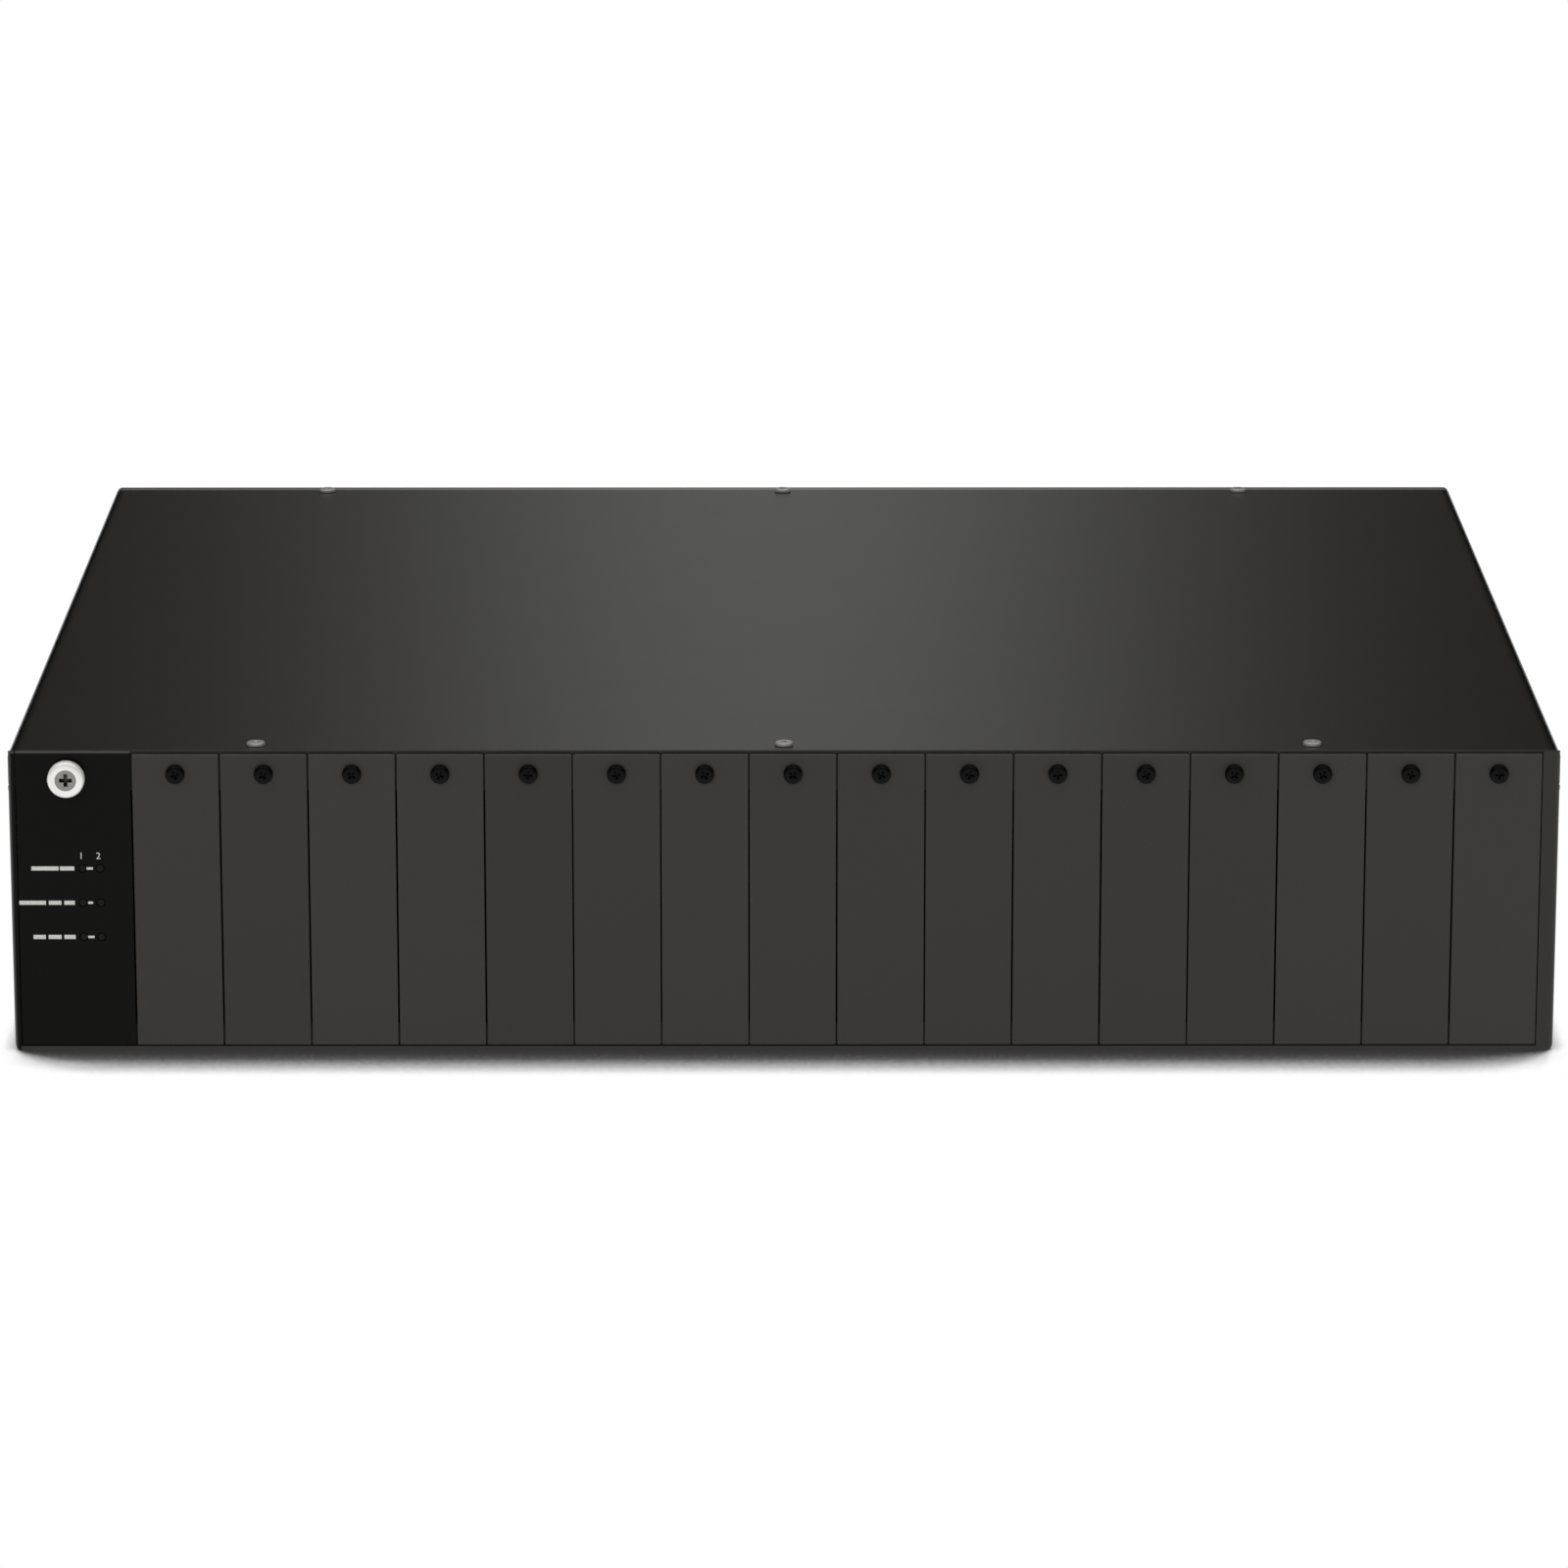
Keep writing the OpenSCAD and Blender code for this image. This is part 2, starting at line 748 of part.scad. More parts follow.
module fan_frame(x)
    color("#1a1a1a")
        difference() {
            union() {
                difference() {
                    union() {
                        for (y = [fan_y0, fan_y1 - fan_flange_t])
                            along_y(y, y + fan_flange_t)
                                round_rect(x - fan_size / 2, x + fan_size / 2,
                                           fan_z - fan_size / 2, fan_z + fan_size / 2,
                                           fan_corner_r);
                        rod_y(fan_y0, fan_y1, x, fan_z, fan_bore_r + fan_ring_t);
                    }
                    rod_y(fan_y0 - overrun, fan_y1 + overrun, x, fan_z, fan_bore_r);
                }
                rod_y(fan_y1 - fan_strut_t, fan_y1, x, fan_z, fan_hub_r);
                for (a = [0 : 90 : 270])
                    translate([x, 0, fan_z])
                        rotate([0, a, 0])
                            block(-fan_strut_w / 2, fan_strut_w / 2, fan_y1 - fan_strut_t, fan_y1,
                                  fan_hub_r / 2, fan_bore_r + fan_ring_t / 2);
            }
            for (dx = [-fan_hole_d, fan_hole_d], dz = [-fan_hole_d, fan_hole_d])
                rod_y(fan_y0 - overrun, fan_y1 + overrun, x + dx, fan_z + dz, fan_hole_r);
            rod_y(fan_y1 - fan_strut_t - overrun, fan_y1 + overrun, x, fan_z, shaft_r + shaft_fit);
        }

module fan_rotor(x) {
    y0 = fan_y0 + rotor_front_gap;
    y1 = fan_y1 - fan_strut_t - rotor_back_gap;
    color("#202020")
        union() {
            rod_y(y0, y1, x, fan_z, fan_hub_r);
            rod_y(y0, fan_y1 - rotor_back_gap, x, fan_z, shaft_r);
            intersection() {
                rod_y(y0, y1, x, fan_z, fan_bore_r - rotor_play);
                for (i = [0 : blade_count - 1])
                    translate([x, (y0 + y1) / 2, fan_z])
                        rotate([0, i * 360 / blade_count, 0])
                            rotate([0, 0, blade_tilt])
                                block(-blade_chord / 2, blade_chord / 2, -blade_t / 2, blade_t / 2,
                                      fan_hub_r / 2, fan_bore_r);
            }
        }
}

module ring(r, y)
    translate([0, y, 0])
        rotate([90, 0, 0])
            rotate_extrude()
                translate([r, 0])
                    circle(wire_r);

module fan_guard()
    translate([fan_x, y_rear, fan_z]) {
        for (i = [0 : guard_ring_count - 1])
            ring(fan_bore_r * (guard_ring_r0_share
                 + (1 - guard_ring_r0_share) * i / (guard_ring_count - 1)), guard_ring_y);
        for (a = [45 : 90 : 315])
            rotate([0, a, 0])
                rod_x(fan_bore_r * guard_ring_r0_share - wire_r,
                      fan_hole_d * sqrt(2) - eyelet_r + wire_r / 2, guard_spoke_y, 0, wire_r);
        for (dx = [-fan_hole_d, fan_hole_d], dz = [-fan_hole_d, fan_hole_d])
            difference() {
                rod_y(0, eyelet_t, dx, dz, eyelet_r);
                rod_y(-overrun, eyelet_t + overrun, dx, dz, fan_hole_r);
            }
    }

module fan_guards()
    color("silver")
        both_sides()
            fan_guard();

module fan_screws()
    color("#303030")
        both_sides()
            for (dx = [-fan_hole_d, fan_hole_d], dz = [-fan_hole_d, fan_hole_d])
                facing_rear(fan_x + dx, y_rear + eyelet_t, fan_z + dz)
                    pan_screw(fan_head_r, fan_head_h, fan_screw_r, fan_screw_l);

// A round wire through points, with ball joints at its turns
module wire(points, r)
    for (i = [0 : len(points) - 2]) {
        step = points[i + 1] - points[i];
        length = norm(step);
        translate(points[i])
            rotate([0, acos(step.z / length), atan2(step.y, step.x)])
                cylinder(h = length, r = r);
        if (i > 0)
            translate(points[i])
                sphere(r);
    }

module fan_leads() {
    lead_top_z = fan_z - fan_size / 2 + lead_rise;
    header_y = mid_y1 + header_d;
    color("#c23b2e")
        both_sides()
            wire([[lead_x, fan_y0, lead_top_z],
                  [lead_x, fan_y0 - lead_run / 2, lead_top_z],
                  [lead_x, fan_y0 - lead_run, lead_z],
                  [lead_x, header_y + lead_run + lead_run, lead_z],
                  [lead_x, header_y + lead_run, header_z],
                  [lead_x, header_y, header_z]], lead_r);
}

module ground_screw()
    color("#c9b26a")
        facing_rear(0, y_rear, ground_z)
            union() {
                difference() {
                    translate([0, 0, head_gap])
                        cylinder(h = ground_washer_t + head_gap, r = ground_washer_r);
                    translate([0, 0, -overrun])
                        cylinder(h = ground_washer_t + 2 * overrun, r = ground_screw_r / 2);
                }
                translate([0, 0, ground_washer_t])
                    pan_screw(ground_head_r, ground_head_h, ground_screw_r, ground_screw_l);
            }

// Front plates

// A plate with a hole for its screw and a tongue at its foot
module front_plate(x0, x1, z1, screw_x, screw_z, screw_r)
    difference() {
        union() {
            block(x0, x1, plate_y0, frame_y0, plate_z0, z1);
            tongue((x0 + x1) / 2);
        }
        rod_y(plate_y0 - overrun, frame_y0 + overrun, screw_x, screw_z, screw_r + slip);
    }

module blank(i) {
    x0 = slot_x(i) - (slot_pitch - plate_gap) / 2;
    x1 = slot_x(i) + (slot_pitch - plate_gap) / 2;
    color("#393836") {
        front_plate(x0, x1, plate_z1, slot_x(i), plate_screw_z, slot_screw_r);
        for (x = [x0, x1 - plate_t])
            block(x, x + plate_t, plate_y0, frame_y0 + return_d,
                  window_z0 + slip, window_z1 - slip);
    }
    color("#080808")
        facing_front(slot_x(i), plate_y0, plate_screw_z)
            pan_screw(slot_head_r, slot_head_h, slot_screw_r, slot_screw_l);
}

// Indicator module

module lamp_places()
    for (i = [0 : lamp_rows - 1], x = [lamp_x_gap, lamp_x_gap + lamp_x_pitch])
        translate([indicator_card_x + card_t / 2 + x, 0, lamp_z0 + i * lamp_pitch])
            children();

module indicator_faceplate()
    color("#121110")
        difference() {
            front_plate(ind_x0, ind_x1, ind_top_z, ind_screw_x, ind_screw_z, ind_shank_r);
            lamp_places()
                rod_y(plate_y0 - overrun, frame_y0 + overrun, 0, 0, lamp_r + lamp_play);
        }

module indicator_board()
    color("#1f5c38") {
        block(indicator_card_x - card_t / 2, indicator_card_x + card_t / 2,
              frame_y0 + ind_board_gap, mid_y0 - plug_d - ind_tongue_margin,
              groove_z0 + slip, groove_z1 - slip);
        block(indicator_card_x - card_t / 2, indicator_card_x + card_t / 2,
              frame_y0 + ind_board_gap, mid_y0 - plug_d + plug_engage,
              plug_z0 + plug_wall + ind_tongue_margin,
              plug_z1 - plug_wall - ind_tongue_margin);
    }

module indicator_lights()
    color("#d9dcd2") {
        for (i = [0 : lamp_rows - 1])
            block(indicator_card_x + card_t / 2, indicator_card_x + card_t / 2 + lamp_body_w,
                  frame_y0 + lamp_setback, frame_y0 + lamp_setback + lamp_body_d,
                  lamp_z0 + i * lamp_pitch - lamp_body_h / 2,
                  lamp_z0 + i * lamp_pitch + lamp_body_h / 2);
        lamp_places()
            rod_y(plate_y0 + lamp_inset, frame_y0 + lamp_setback + overrun, 0, 0, lamp_r);
    }

module indicator_brackets()
    color("#9a9a98")
        for (z = ind_bracket_z)
            translate([indicator_card_x - card_t / 2, frame_y0, z]) {
                block(-ind_bracket_w, 0, 0, ind_bracket_t, 0, ind_bracket_h);
                block(-ind_bracket_t, 0, 0, ind_bracket_l, 0, ind_bracket_h);
            }

module indicator_thumbscrew()
    color("silver")
        facing_front(ind_screw_x, plate_y0, ind_screw_z)
            thumbscrew(ind_head_r, ind_head_h, thumb_neck_r, thumb_neck_h / 2,
                       ind_shank_r, ind_shank_l);

// Power bays

module bay_guide() {
    x0 = bay_wall_x;
    color("#8f8f8c")
        difference() {
            union() {
                block(x0, x0 + sheet_t, bay_floor_y0, panel_y0, z_floor + sheet_t, bay_wall_z1);
                block(x0, x0 + sheet_t, bay_floor_y0, bay_floor_y1,
                      z_floor, z_floor + sheet_t + overrun);
                block(x0, x_inner - bend_r, bay_floor_y0, bay_floor_y1,
                      z_floor, z_floor + sheet_t);
            }
            for (i = [0 : bay_vent_count - 1])
                block(x0 - overrun, x0 + sheet_t + overrun,
                      bay_floor_y0 + bay_vent_y + i * bay_vent_pitch,
                      bay_floor_y0 + bay_vent_y + i * bay_vent_pitch + bay_vent_w,
                      (body_h - bay_vent_h) / 2, (body_h + bay_vent_h) / 2);
        }
}

module bay_plate(x)
    difference() {
        block(x - bay_plate_w / 2, x + bay_plate_w / 2, y_rear, bay_plate_y1,
              bay_plate_z0, bay_plate_z1);
        for (dx = [-thumb_x, thumb_x])
            rod_y(y_rear - overrun, bay_plate_y1 + overrun, x + dx, thumb_z, thumb_shank_r + slip);
    }

module bay_thumbscrew(x)
    color("silver")
        facing_rear(x, bay_plate_y1, thumb_z)
            thumbscrew(thumb_r, thumb_h, thumb_neck_r, thumb_neck_h,
                       thumb_shank_r, thumb_shank_l);

module bay_cover() {
    rim_x = psu_w / 2 + bay_opening_play - bay_rim_play;
    rim_z0 = z_floor + sheet_t + bay_rim_play;
    rim_z1 = psu_z1 + bay_opening_play - bay_rim_play;
    color("#3a3836")
        union() {
            bay_plate(-bay_x);
            difference() {
                block(-bay_x - rim_x, -bay_x + rim_x, panel_y0 - bay_rim_d, y_rear,
                      rim_z0, rim_z1);
                block(-bay_x - rim_x + sheet_t, -bay_x + rim_x - sheet_t,
                      panel_y0 - bay_rim_d - overrun, y_rear,
                      rim_z0 + sheet_t, rim_z1 - sheet_t);
            }
        }
}

// Power module

module lid_vents(z0, z1)
    for (i = [0 : psu_vent_count - 1], row = [-1, 1])
        block(bay_x + row * psu_vent_l * psu_vent_x_share - psu_vent_l / 2,
              bay_x + row * psu_vent_l * psu_vent_x_share + psu_vent_l / 2,
              psu_y0 + psu_l / 2 + (i - psu_vent_count / 2) * psu_vent_pitch,
              psu_y0 + psu_l / 2 + (i - psu_vent_count / 2) * psu_vent_pitch + psu_vent_w,
              z0 - overrun, z1 + overrun);

function board_x(share) = bay_x + (share - 0.5) * (psu_w - 2 * board_side_gap);
function board_y(share) = board_y0 + share * board_l;

module psu_case()
    color("#a2a29e") {
        difference() {
            block(bay_x - psu_w / 2, bay_x + psu_w / 2, psu_y0, y_rear, psu_z0, psu_z1 - psu_t);
            block(bay_x - psu_w / 2 + psu_t, bay_x + psu_w / 2 - psu_t,
                  psu_y0 + psu_t, y_rear + overrun, psu_z0 + psu_t, psu_z1 + overrun);
            block(bay_x - psu_plug_w / 2 - psu_plug_play, bay_x + psu_plug_w / 2 + psu_plug_play,
                  psu_y0 - overrun, psu_y0 + psu_t + overrun,
                  psu_plug_z0 - psu_plug_play, psu_plug_z0 + psu_plug_h + psu_plug_play);
            for (i = [0 : bay_vent_count - 1])
                block(bay_x - psu_w / 2 - overrun, bay_x + psu_w / 2 + overrun,
                      psu_y0 + bay_vent_y + i * bay_vent_pitch,
                      psu_y0 + bay_vent_y + i * bay_vent_pitch + bay_vent_w / 2,
                      (psu_z0 + psu_z1 - bay_vent_h) / 2, (psu_z0 + psu_z1 + bay_vent_h) / 2);
        }
        for (x = [board_x(0) + standoff_inset, board_x(1) - standoff_inset],
             y = [board_y(0) + standoff_inset, board_y(1) - standoff_inset])
            rod_z(psu_z0 + psu_t / 2, board_z0, x, y, standoff_r);
    }

module psu_lid() {
    x = psu_w / 2 - psu_t - psu_lid_play;
    color("#a2a29e")
        difference() {
            union() {
                block(bay_x - psu_w / 2, bay_x + psu_w / 2, psu_y0, y_rear,
                      psu_z1 - psu_t, psu_z1);
                for (side = [-x, x - psu_t])
                    block(bay_x + side, bay_x + side + psu_t, psu_y0 + psu_t + slip, y_rear,
                          psu_z1 - psu_t - psu_lid_flange, psu_z1);
            }
            lid_vents(psu_z1 - psu_t, psu_z1);
        }
}

module psu_faceplate()
    color("#3a3836")
        difference() {
            bay_plate(bay_x);
            block(inlet_x - inlet_w / 2 - cut_play, inlet_x + inlet_w / 2 + cut_play,
                  y_rear - overrun, bay_plate_y1 + overrun,
                  inlet_z - inlet_h / 2 - cut_play, inlet_z + inlet_h / 2 + cut_play);
            block(switch_x - switch_w / 2 - cut_play, switch_x + switch_w / 2 + cut_play,
                  y_rear - overrun, bay_plate_y1 + overrun,
                  switch_z - switch_h / 2 - cut_play, switch_z + switch_h / 2 + cut_play);
            for (i = [0 : face_vent_cols - 1], j = [0 : face_vent_rows - 1])
                block(bay_x + face_vent_x + (i - face_vent_cols / 2) * face_vent_dx,
                      bay_x + face_vent_x + (i - face_vent_cols / 2) * face_vent_dx + face_vent_w,
                      y_rear - overrun, bay_plate_y1 + overrun,
                      face_vent_z + (j - face_vent_rows / 2) * face_vent_dz,
                      face_vent_z + (j - face_vent_rows / 2) * face_vent_dz + face_vent_h);
        }

module psu_board()
    color("#8a6d3b")
        block(board_x(0), board_x(1), board_y(0), board_y(1), board_z0, board_z1);

module psu_transformer()
    color("#4a4a46")
        translate([board_x(transformer_share.x), board_y(transformer_share.y), board_z1])
            union() {
                difference() {
                    block(-transformer_w / 2, transformer_w / 2,
                          -transformer_l / 2, transformer_l / 2, 0, transformer_h);
                    block(-transformer_w / 2 + core_leg_t, transformer_w / 2 - core_leg_t,
                          -transformer_l, transformer_l, core_leg_t, transformer_h - core_leg_t);
                }
                block(-transformer_w / 2 + core_leg_t, transformer_w / 2 - core_leg_t,
                      -transformer_l / 2 - winding_bulge, transformer_l / 2 + winding_bulge,
                      core_leg_t, transformer_h - core_leg_t);
            }

module psu_capacitors()
    color("#20242c")
        for (p = capacitor_shares)
            translate([board_x(p.x), board_y(p.y), board_z1]) {
                cylinder(h = capacitor_h, r = capacitor_r);
                cylinder(h = capacitor_h + capacitor_vent_t, r = capacitor_r - 2 * capacitor_vent_t);
            }

module psu_heatsinks()
    color("#b9bab8")
        for (p = heatsink_shares)
            translate([board_x(p.x), board_y(p.y), board_z1]) {
                block(-heatsink_t / 2, heatsink_t / 2, -heatsink_l / 2, heatsink_l / 2,
                      0, heatsink_h);
                for (i = [0 : fin_count - 1])
                    block(-fin_w - heatsink_t / 2, 0,
                          -heatsink_l / 2 + i * (heatsink_l - fin_t) / (fin_count - 1),
                          -heatsink_l / 2 + i * (heatsink_l - fin_t) / (fin_count - 1) + fin_t,
                          heatsink_t, heatsink_h);
            }

module psu_plug()
    color("#151515") {
        block(bay_x - psu_plug_w / 2, bay_x + psu_plug_w / 2, psu_y0 - psu_plug_reach,
              board_y0 + psu_plug_back, psu_plug_z0, psu_plug_z0 + psu_plug_h);
        block(bay_x - psu_plug_w / 2, bay_x + psu_plug_w / 2, board_y0 + psu_plug_play,
              board_y0 + psu_plug_back, board_z1, psu_plug_z0 + psu_plug_h);
    }

// The inlet's outline, with its two upper corners cut
module inlet_outline(w, h, corner)
    polygon([[-w / 2, -h / 2], [w / 2, -h / 2], [w / 2, h / 2 - corner],
             [w / 2 - corner, h / 2], [-w / 2 + corner, h / 2], [-w / 2, h / 2 - corner]]);

module psu_inlet()
    color("#101010")
        translate([inlet_x, 0, inlet_z])
            difference() {
                union() {
                    block(-inlet_w / 2 - inlet_rim, inlet_w / 2 + inlet_rim,
                          bay_plate_y1, bay_plate_y1 + inlet_rim_t,
                          -inlet_h / 2 - inlet_rim, inlet_h / 2 + inlet_rim);
                    block(-inlet_w / 2, inlet_w / 2, bay_plate_y1 + inlet_rim_t - inlet_d,
                          bay_plate_y1 + inlet_rim_t / 2, -inlet_h / 2, inlet_h / 2);
                }
                along_y(bay_plate_y1 + inlet_rim_t - inlet_cavity_d,
                        bay_plate_y1 + inlet_rim_t + overrun)
                    inlet_outline(inlet_cavity_w, inlet_cavity_h, inlet_corner);
                for (p = blade_places)
                    block(p.x - blade_w / 2 - blade_play, p.x + blade_w / 2 + blade_play,
                          bay_plate_y1 + inlet_rim_t - inlet_d - overrun, bay_plate_y1,
                          p.y - blade_h / 2 - blade_play, p.y + blade_h / 2 + blade_play);
            }

module psu_inlet_blades()
    color("#c8c4b8")
        for (p = blade_places)
            translate([inlet_x + p.x, bay_plate_y1 + inlet_rim_t - inlet_cavity_d, inlet_z + p.y])
                block(-blade_w / 2, blade_w / 2,
                      inlet_cavity_d - inlet_d - blade_tail, blade_l, -blade_h / 2, blade_h / 2);

module psu_switch_housing() {
    cavity_x = rocker_w / 2 + rocker_side_play;
    cavity_z = rocker_half + rocker_play;
    color("#101010")
        translate([switch_x, 0, switch_z])
            difference() {
                union() {
                    block(-switch_w / 2 - switch_rim, switch_w / 2 + switch_rim,
                          bay_plate_y1, bay_plate_y1 + switch_rim_t,
                          -switch_h / 2 - switch_rim, switch_h / 2 + switch_rim);
                    block(-switch_w / 2, switch_w / 2, bay_plate_y1 + switch_rim_t - switch_d,
                          bay_plate_y1 + switch_rim_t / 2, -switch_h / 2, switch_h / 2);
                }
                block(-cavity_x, cavity_x, bay_plate_y1 - rocker_back - switch_rim_t - slip,
                      bay_plate_y1 + switch_rim_t + overrun, -cavity_z, cavity_z);
                rod_x(-cavity_x - rocker_pin_l, cavity_x + rocker_pin_l, rocker_y, 0,
                      rocker_pin_r + rocker_pin_fit);
            }
}

module psu_rocker()
    color("#161616")
        translate([switch_x, rocker_y, switch_z])
            rotate([-rocker_tip, 0, 0]) {
                translate([rocker_w / 2, 0, 0])
                    rotate([90, 0, -90])
                        linear_extrude(rocker_w)
                            polygon([[rocker_back, -rocker_half + rocker_rise],
                                     [-rocker_rise, -rocker_half], [-rocker_dip, 0],
                                     [-rocker_rise, rocker_half],
                                     [rocker_back, rocker_half - rocker_rise]]);
                rod_x(-rocker_w / 2 - rocker_side_play - rocker_pin_l + slip,
                      rocker_w / 2 + rocker_side_play + rocker_pin_l - slip, 0, 0, rocker_pin_r);
            }

module psu_handle()
    color("#c4c4c2") {
        bar_y = bay_plate_y1 + handle_reach - handle_r;
        for (x = [-handle_w / 2, handle_w / 2]) {
            rod_y(bay_plate_y1, bar_y, bay_x + x, handle_z, handle_r);
            rod_y(bay_plate_y1, bay_plate_y1 + handle_foot_t, bay_x + x, handle_z, handle_foot_r);
            translate([bay_x + x, bar_y, handle_z])
                sphere(handle_r);
        }
        rod_x(bay_x - handle_w / 2, bay_x + handle_w / 2, bar_y, handle_z, handle_r);
    }

base_tray();
rear_panel();
top_cover();
cover_screws();
front_frame();
lower_card_guide();
upper_card_guide();
midplane_board();
card_plugs();
midplane_brackets();
rear_sockets();
bay_guide();  // bay_1_guide
mirror([1, 0, 0]) bay_guide();  // bay_2_guide
fan_frame(fan_x);  // fan_1_frame
fan_frame(-fan_x);  // fan_2_frame
fan_rotor(fan_x);  // fan_1_rotor
fan_rotor(-fan_x);  // fan_2_rotor
fan_guards();
fan_screws();
fan_leads();
ground_screw();
indicator_faceplate();
indicator_board();
indicator_lights();
indicator_brackets();
indicator_thumbscrew();
psu_case();
psu_lid();
psu_faceplate();
psu_board();
psu_transformer();
psu_capacitors();
psu_heatsinks();
psu_inlet();
psu_inlet_blades();
psu_switch_housing();
psu_rocker();
psu_handle();
psu_plug();
bay_thumbscrew(bay_x - thumb_x);  // psu_thumbscrew_left
bay_thumbscrew(bay_x + thumb_x);  // psu_thumbscrew_right
bay_cover();
bay_thumbscrew(-bay_x - thumb_x);  // bay_cover_thumbscrew_left
bay_thumbscrew(-bay_x + thumb_x);  // bay_cover_thumbscrew_right
for (i = [1 : slot_count])
    blank(i);
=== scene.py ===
# Media converter chassis in two rack units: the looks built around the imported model.
# One section for each piece or group of like pieces, in the order in which the real one goes together.
import json
import math

import bmesh
import bpy
from mathutils import Matrix, Vector

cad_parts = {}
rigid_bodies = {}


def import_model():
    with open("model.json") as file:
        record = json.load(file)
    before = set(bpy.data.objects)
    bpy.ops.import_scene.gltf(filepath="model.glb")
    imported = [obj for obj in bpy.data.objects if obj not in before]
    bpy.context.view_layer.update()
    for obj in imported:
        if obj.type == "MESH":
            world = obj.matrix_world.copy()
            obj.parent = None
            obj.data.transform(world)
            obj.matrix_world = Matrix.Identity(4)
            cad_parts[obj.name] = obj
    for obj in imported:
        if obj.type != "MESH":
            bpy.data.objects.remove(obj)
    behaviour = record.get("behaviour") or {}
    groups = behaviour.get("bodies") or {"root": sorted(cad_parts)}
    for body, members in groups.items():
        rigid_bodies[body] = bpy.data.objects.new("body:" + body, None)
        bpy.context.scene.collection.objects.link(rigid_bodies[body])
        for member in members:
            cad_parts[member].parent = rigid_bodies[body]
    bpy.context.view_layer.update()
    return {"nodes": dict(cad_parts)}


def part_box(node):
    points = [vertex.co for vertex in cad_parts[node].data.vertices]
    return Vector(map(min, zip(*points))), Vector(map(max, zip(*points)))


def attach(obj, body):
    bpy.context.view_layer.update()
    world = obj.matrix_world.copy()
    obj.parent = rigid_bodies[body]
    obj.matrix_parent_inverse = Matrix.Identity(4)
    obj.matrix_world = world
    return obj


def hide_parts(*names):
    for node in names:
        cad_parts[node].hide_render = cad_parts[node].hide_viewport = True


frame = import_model()
nodes = frame["nodes"]

# Camera: a long lens in front of the chassis and a little above it, as in the photograph.
# It looks down by 14.5 degrees, so the cover shows as a trapezoid above the front plates.
camera_place = (-0.0025, -2.1656, 0.5929)
camera_down, camera_aside = math.radians(90 - 14.506), math.radians(-0.071)
bpy.ops.object.camera_add(location=camera_place, rotation=(camera_down, 0, camera_aside))
camera = bpy.context.object
camera.data.lens = 166.4
camera.data.sensor_width = 36
bpy.context.scene.camera = camera
bpy.context.scene.view_settings.view_transform = "Standard"


# Studio: an even white room. Gloss sees a dark band of walls with a narrow soft box on each wall,
# which draws the bright band down the middle of the cover; the camera sees plain white.
def calculate(tree, operation, *values):
    """A Math node of values and sockets. Returns its output."""
    node = tree.nodes.new("ShaderNodeMath")
    node.operation = operation
    for socket, value in zip(node.inputs, values):
        if isinstance(value, (int, float)):
            socket.default_value = value
        else:
            tree.links.new(value, socket)
    return node.outputs[0]


room = bpy.data.worlds.new("white_room")
bpy.context.scene.world = room
room.use_nodes = True
tree = room.node_tree
tree.nodes.clear()
direction = tree.nodes.new("ShaderNodeTexCoord").outputs["Generated"]
parts = tree.nodes.new("ShaderNodeSeparateXYZ")
tree.links.new(direction, parts.inputs[0])
east, north, up = parts.outputs
box_width = 0.034
box_light = 0.50
dim_below, full_above, dim_share = 0.214, 0.238, 0.80
wall_light = 0.002
wall_top = 0.55
wall_fade = 0.35
diffuse_light = 0.82
across = calculate(tree, "MINIMUM", calculate(tree, "ABSOLUTE", east),
                   calculate(tree, "ABSOLUTE", north))
narrow = calculate(tree, "DIVIDE", across, box_width)
soft_box = calculate(tree, "EXPONENT",
                     calculate(tree, "MULTIPLY", calculate(tree, "MULTIPLY", narrow, narrow), -0.5))
dimmed = tree.nodes.new("ShaderNodeMapRange")
tree.links.new(up, dimmed.inputs["Value"])
for socket, value in (("From Min", dim_below), ("From Max", full_above), ("To Min", dim_share),
                      ("To Max", 1.0)):
    dimmed.inputs[socket].default_value = value
walls = calculate(tree, "ADD", wall_light, calculate(tree, "MULTIPLY", soft_box, calculate(
    tree, "MULTIPLY", dimmed.outputs[0], box_light)))
ramp = tree.nodes.new("ShaderNodeMapRange")
ramp.interpolation_type = "SMOOTHSTEP"
tree.links.new(up, ramp.inputs["Value"])
ramp.inputs["From Min"].default_value = wall_top
ramp.inputs["From Max"].default_value = wall_top + wall_fade
ceiling = ramp.outputs[0]
gloss_light = calculate(tree, "ADD", ceiling, calculate(
    tree, "MULTIPLY", walls, calculate(tree, "SUBTRACT", 1.0, ceiling)))
path = tree.nodes.new("ShaderNodeLightPath")
seen = calculate(tree, "MAXIMUM", path.outputs["Is Camera Ray"],
                 path.outputs["Is Transmission Ray"])
level = tree.nodes.new("ShaderNodeMix")
tree.links.new(path.outputs["Is Glossy Ray"], level.inputs["Factor"])
level.inputs["A"].default_value = diffuse_light
tree.links.new(gloss_light, level.inputs["B"])
final = tree.nodes.new("ShaderNodeMix")
tree.links.new(seen, final.inputs["Factor"])
tree.links.new(level.outputs["Result"], final.inputs["A"])
final.inputs["B"].default_value = 1.0
background = tree.nodes.new("ShaderNodeBackground")
background.inputs["Color"].default_value = (1, 1, 1, 1)
tree.links.new(final.outputs["Result"], background.inputs["Strength"])
output = tree.nodes.new("ShaderNodeOutputWorld")
tree.links.new(background.outputs[0], output.inputs["Surface"])

